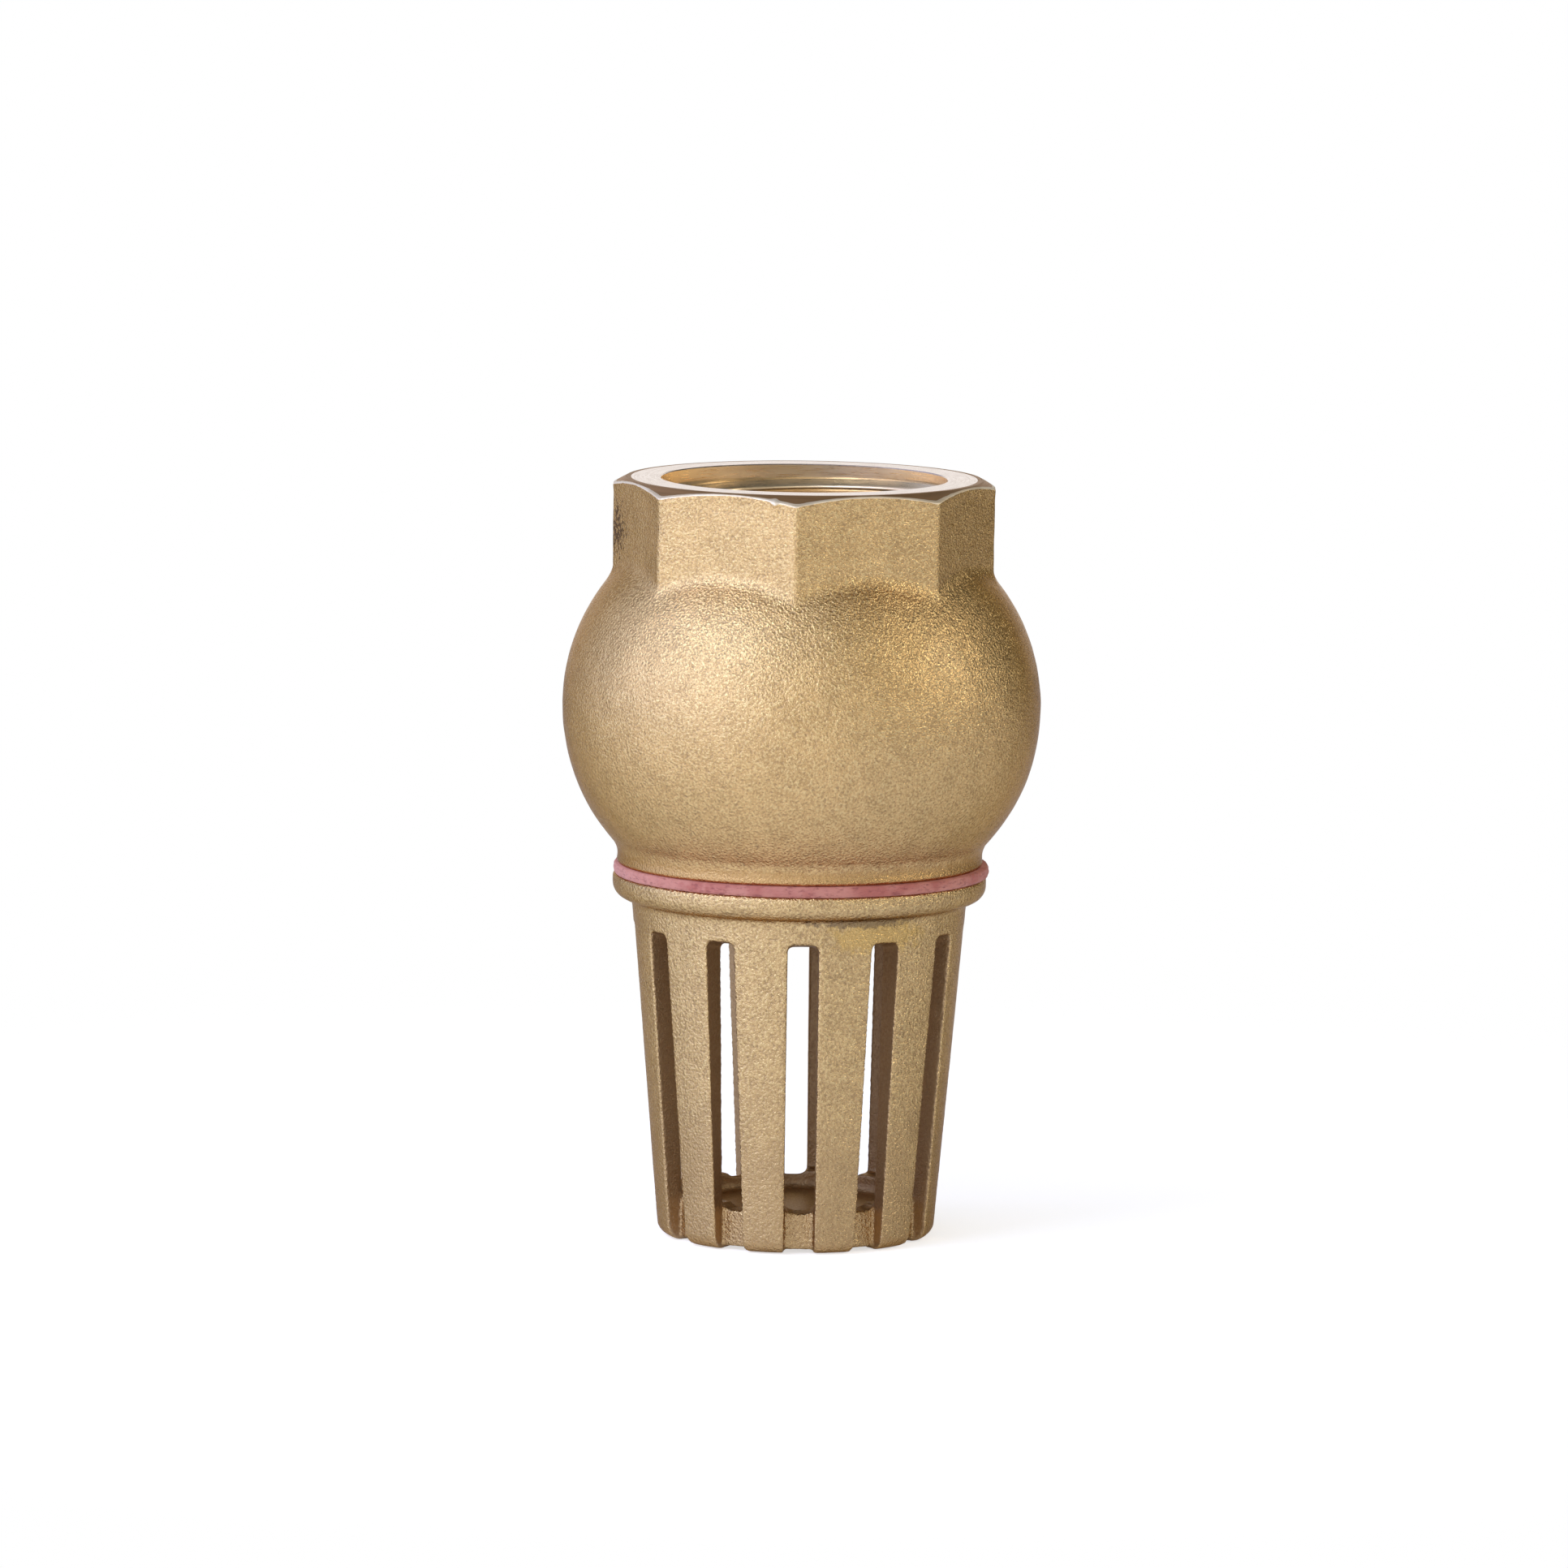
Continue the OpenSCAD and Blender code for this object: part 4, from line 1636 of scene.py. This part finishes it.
@dataclass(frozen=True)
class Softbox:
    """One soft lamp, whose distance, width and height are in metres."""

    name: str
    azimuth: float
    elevation: float
    radiance: float
    colour: Colour = (1.0, 1.0, 1.0)
    distance: float = 0.75
    width: float = 0.26
    height: float = 0.26

    def place(self, aim: Vector) -> None:
        """Puts the lamp in the scene.

        Args:
            aim: the point that it shines at, in metres.
        """
        lamp = bpy.data.lights.new(self.name, "AREA")
        lamp.shape = "RECTANGLE"
        lamp.size, lamp.size_y = self.width, self.height
        lamp.energy = self.radiance * math.pi * self.width * self.height
        lamp.color = self.colour
        towards = direction(self.azimuth, self.elevation)
        holder = bpy.data.objects.new(self.name, lamp)
        holder.location = aim + towards * self.distance
        holder.rotation_euler = towards.to_track_quat("Z", "Y").to_euler()
        bpy.context.scene.collection.objects.link(holder)


@dataclass
class Studio:
    """Floor, backdrop, lamps and camera."""

    aim: Vector
    # Camera, with its distance in metres and its lens in millimetres
    distance: float = 1.330
    elevation: float = 7.26
    roll: float = 0.71
    focal: float = 254.6
    # Room
    room: float = 0.10
    front: float = 0.62
    front_azimuth: float = -32.0
    left: float = 0.38
    left_azimuth: float = -90.0
    plain: Colour = (1.0, 1.0, 1.0)
    cool: Colour = (1.0, 1.12, 1.70)
    # Floor
    floor_colour: Colour = (0.86, 0.86, 0.86)
    floor_drop: float = 0.05
    floor_seen: float = 0.62
    floor_glow: float = 0.08
    floor_bounce: float = 0.16
    floor_far: float = 0.72
    floor_towards: Point = (-0.65, -0.76, 0.0)
    floor_rings: tuple[float, ...] = (0.001, 30.0, 80.0, 160.0, 320.0, 640.0, 1000.0)
    lamps: tuple[Softbox, ...] = (
        Softbox("side_left", -80.0, 42.0, 1.35, (1.0, 1.08, 1.5)),
        Softbox("key_left", -42.0, 45.0, 3.2, (1.0, 1.2, 1.65)),
        Softbox("over_front", 0.0, 45.0, 0.6),
        Softbox("rim_right", 80.0, 24.0, 5.5, (1.0, 0.98, 0.90), width=0.22, height=0.22),
        Softbox("over_right", 85.0, 45.0, 1.4, (1.0, 0.9, 0.75)),
        Softbox("low_right", 85.0, 4.0, 0.6),
    )

    def build(self) -> None:
        """Sets up everything that isn't part of the valve."""
        bpy.context.scene.view_settings.view_transform = "Standard"
        self._world()
        self._floor()
        for lamp in self.lamps:
            lamp.place(self.aim)
        self._camera()
        LOG.info("studio: world, floor, %d lamps and camera", len(self.lamps))

    def _world(self) -> None:
        """White to the camera, and a pale backdrop in a dimmer room to everything else."""
        world = bpy.data.worlds.new("studio")
        bpy.context.scene.world = world
        world.use_nodes = True
        world.node_tree.nodes.clear()
        nodes = Nodes(world.node_tree, "Generated")

        def lobe(azimuth: float, start: float, end: float, height: Socket) -> Socket:
            """A soft patch of the room around an azimuth, scaled by a share for the height."""
            facing = nodes.vector("DOT_PRODUCT", nodes.place, direction(azimuth, 0.0))
            return nodes.math("MULTIPLY", nodes.span(facing, start, end), height)

        above = nodes.split(nodes.place)[2]
        low = nodes.span(above, 1.0, 0.5, 0.35, 1.0)
        front = lobe(self.front_azimuth, -0.30, 0.75, low)
        left = lobe(self.left_azimuth, -0.10, 0.80, low)
        backdrop = lobe(180.0, 0.80, 0.97, nodes.span(above, 0.80, 0.28))
        level = nodes.math("MULTIPLY_ADD", front, self.front, self.room)
        level = nodes.math("MULTIPLY_ADD", left, self.left, level)
        dim, white = nodes.add("ShaderNodeBackground"), nodes.add("ShaderNodeBackground")
        nodes.feed(dim.inputs["Color"], nodes.blend(left, self.plain, self.cool))
        nodes.feed(dim.inputs["Strength"], level)
        nodes.feed(white.inputs["Color"], (1.0, 1.0, 1.0, 1.0))
        rays = nodes.add("ShaderNodeLightPath").outputs
        mirrored = nodes.math("MAXIMUM", rays["Is Glossy Ray"], rays["Is Transmission Ray"])
        shown = nodes.math("MAXIMUM", rays["Is Camera Ray"], nodes.math("MULTIPLY", mirrored, backdrop))
        surface = nodes.add("ShaderNodeOutputWorld").inputs["Surface"]
        nodes.feed(surface, nodes.layer(shown, dim.outputs[0], white.outputs[0]))

    def _floor(self) -> None:
        """A pale floor that keeps the valve's shadow and fades into the white background."""
        sweep = np.linspace(0.0, FULL_TURN, 96, endpoint=False)
        points = np.stack([polar(radius, sweep, -self.floor_drop) for radius in self.floor_rings])
        floor = Grid(points, closed_rows=False).object("floor")
        graph = Graph("floor_paper")
        graph.set(Base_Color=(*self.floor_colour, 1.0), Roughness=0.85, Specular_IOR_Level=0.1)
        seen = graph.add("ShaderNodeLightPath").outputs["Is Camera Ray"]
        slope = graph.vector("DOT_PRODUCT", graph.place, self.floor_towards)
        bounce = graph.span(slope, 0.0, 0.09, self.floor_glow, self.floor_glow + self.floor_bounce)
        lit = graph.math("ADD", bounce, graph.span(slope, 0.10, 0.50, 0.0, self.floor_far))
        glow, paper = graph.add("ShaderNodeEmission"), graph.add("ShaderNodeAddShader")
        strength = graph.math("MAXIMUM", graph.math("MULTIPLY", seen, self.floor_seen), lit)
        graph.feed(glow.inputs["Strength"], strength)
        graph.feed(paper.inputs[0], graph.shader.outputs[0])
        graph.feed(paper.inputs[1], glow.outputs[0])
        clear = graph.add("ShaderNodeBsdfTransparent").outputs[0]
        far = graph.span(graph.vector("LENGTH", graph.place), 0.035, 0.20)
        surface = graph.tree.nodes["Material Output"].inputs["Surface"]
        graph.feed(surface, graph.layer(graph.math("MULTIPLY", far, seen), paper.outputs[0], clear))
        floor.data.materials.append(graph.material)
        floor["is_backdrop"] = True

    def _camera(self) -> None:
        """A long lens, a little above the horizon and a little tilted."""
        data = bpy.data.cameras.new("camera")
        data.sensor_width, data.lens = 36.0, self.focal
        data.clip_start, data.clip_end = 0.05, 20.0
        camera = bpy.data.objects.new("camera", data)
        bpy.context.scene.collection.objects.link(camera)
        lift, tilt = math.radians(self.elevation), math.radians(self.roll)
        right, up = Vector((1.0, 0.0, 0.0)), Vector((0.0, math.sin(lift), math.cos(lift)))
        back = direction(0.0, self.elevation)
        axis_x = right * math.cos(tilt) + up * math.sin(tilt)
        axis_y = up * math.cos(tilt) - right * math.sin(tilt)
        turn = Matrix((axis_x, axis_y, back)).transposed().to_4x4()
        camera.matrix_world = Matrix.Translation(self.aim + back * self.distance) @ turn
        bpy.context.scene.camera = camera


# ---- Scene ----


def corners() -> list[list[float]]:
    """Lowest and highest corner of what is shown, in metres."""
    return [[float(x) for x in corner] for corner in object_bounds()]


def main() -> None:
    """Builds the scene."""
    logging.basicConfig(level=logging.INFO, format="%(name)s: %(message)s")
    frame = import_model()
    body_low, body_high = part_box("valve_body")
    gasket_low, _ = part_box("fibre_gasket")
    spring_low, spring_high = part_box("return_spring")
    assemblies = [
        ValveBody(low=body_low.z / MM, top=body_high.z / MM),
        Strainer(height=gasket_low.z / MM - Strainer.flange_t),
        Gasket(low=gasket_low.z / MM),
        Poppet(nodes=frame["nodes"]),
        ReturnSpring(low=spring_low.z / MM, high=spring_high.z / MM),
    ]
    for assembly in assemblies:
        assembly.build()
        assembly.dress()
        LOG.info("%s is ready", type(assembly).__name__)
    Studio(aim=Vector((-1.985, 0.0, 54.45)) * MM).build()


if __name__ == "__main__":
    main()
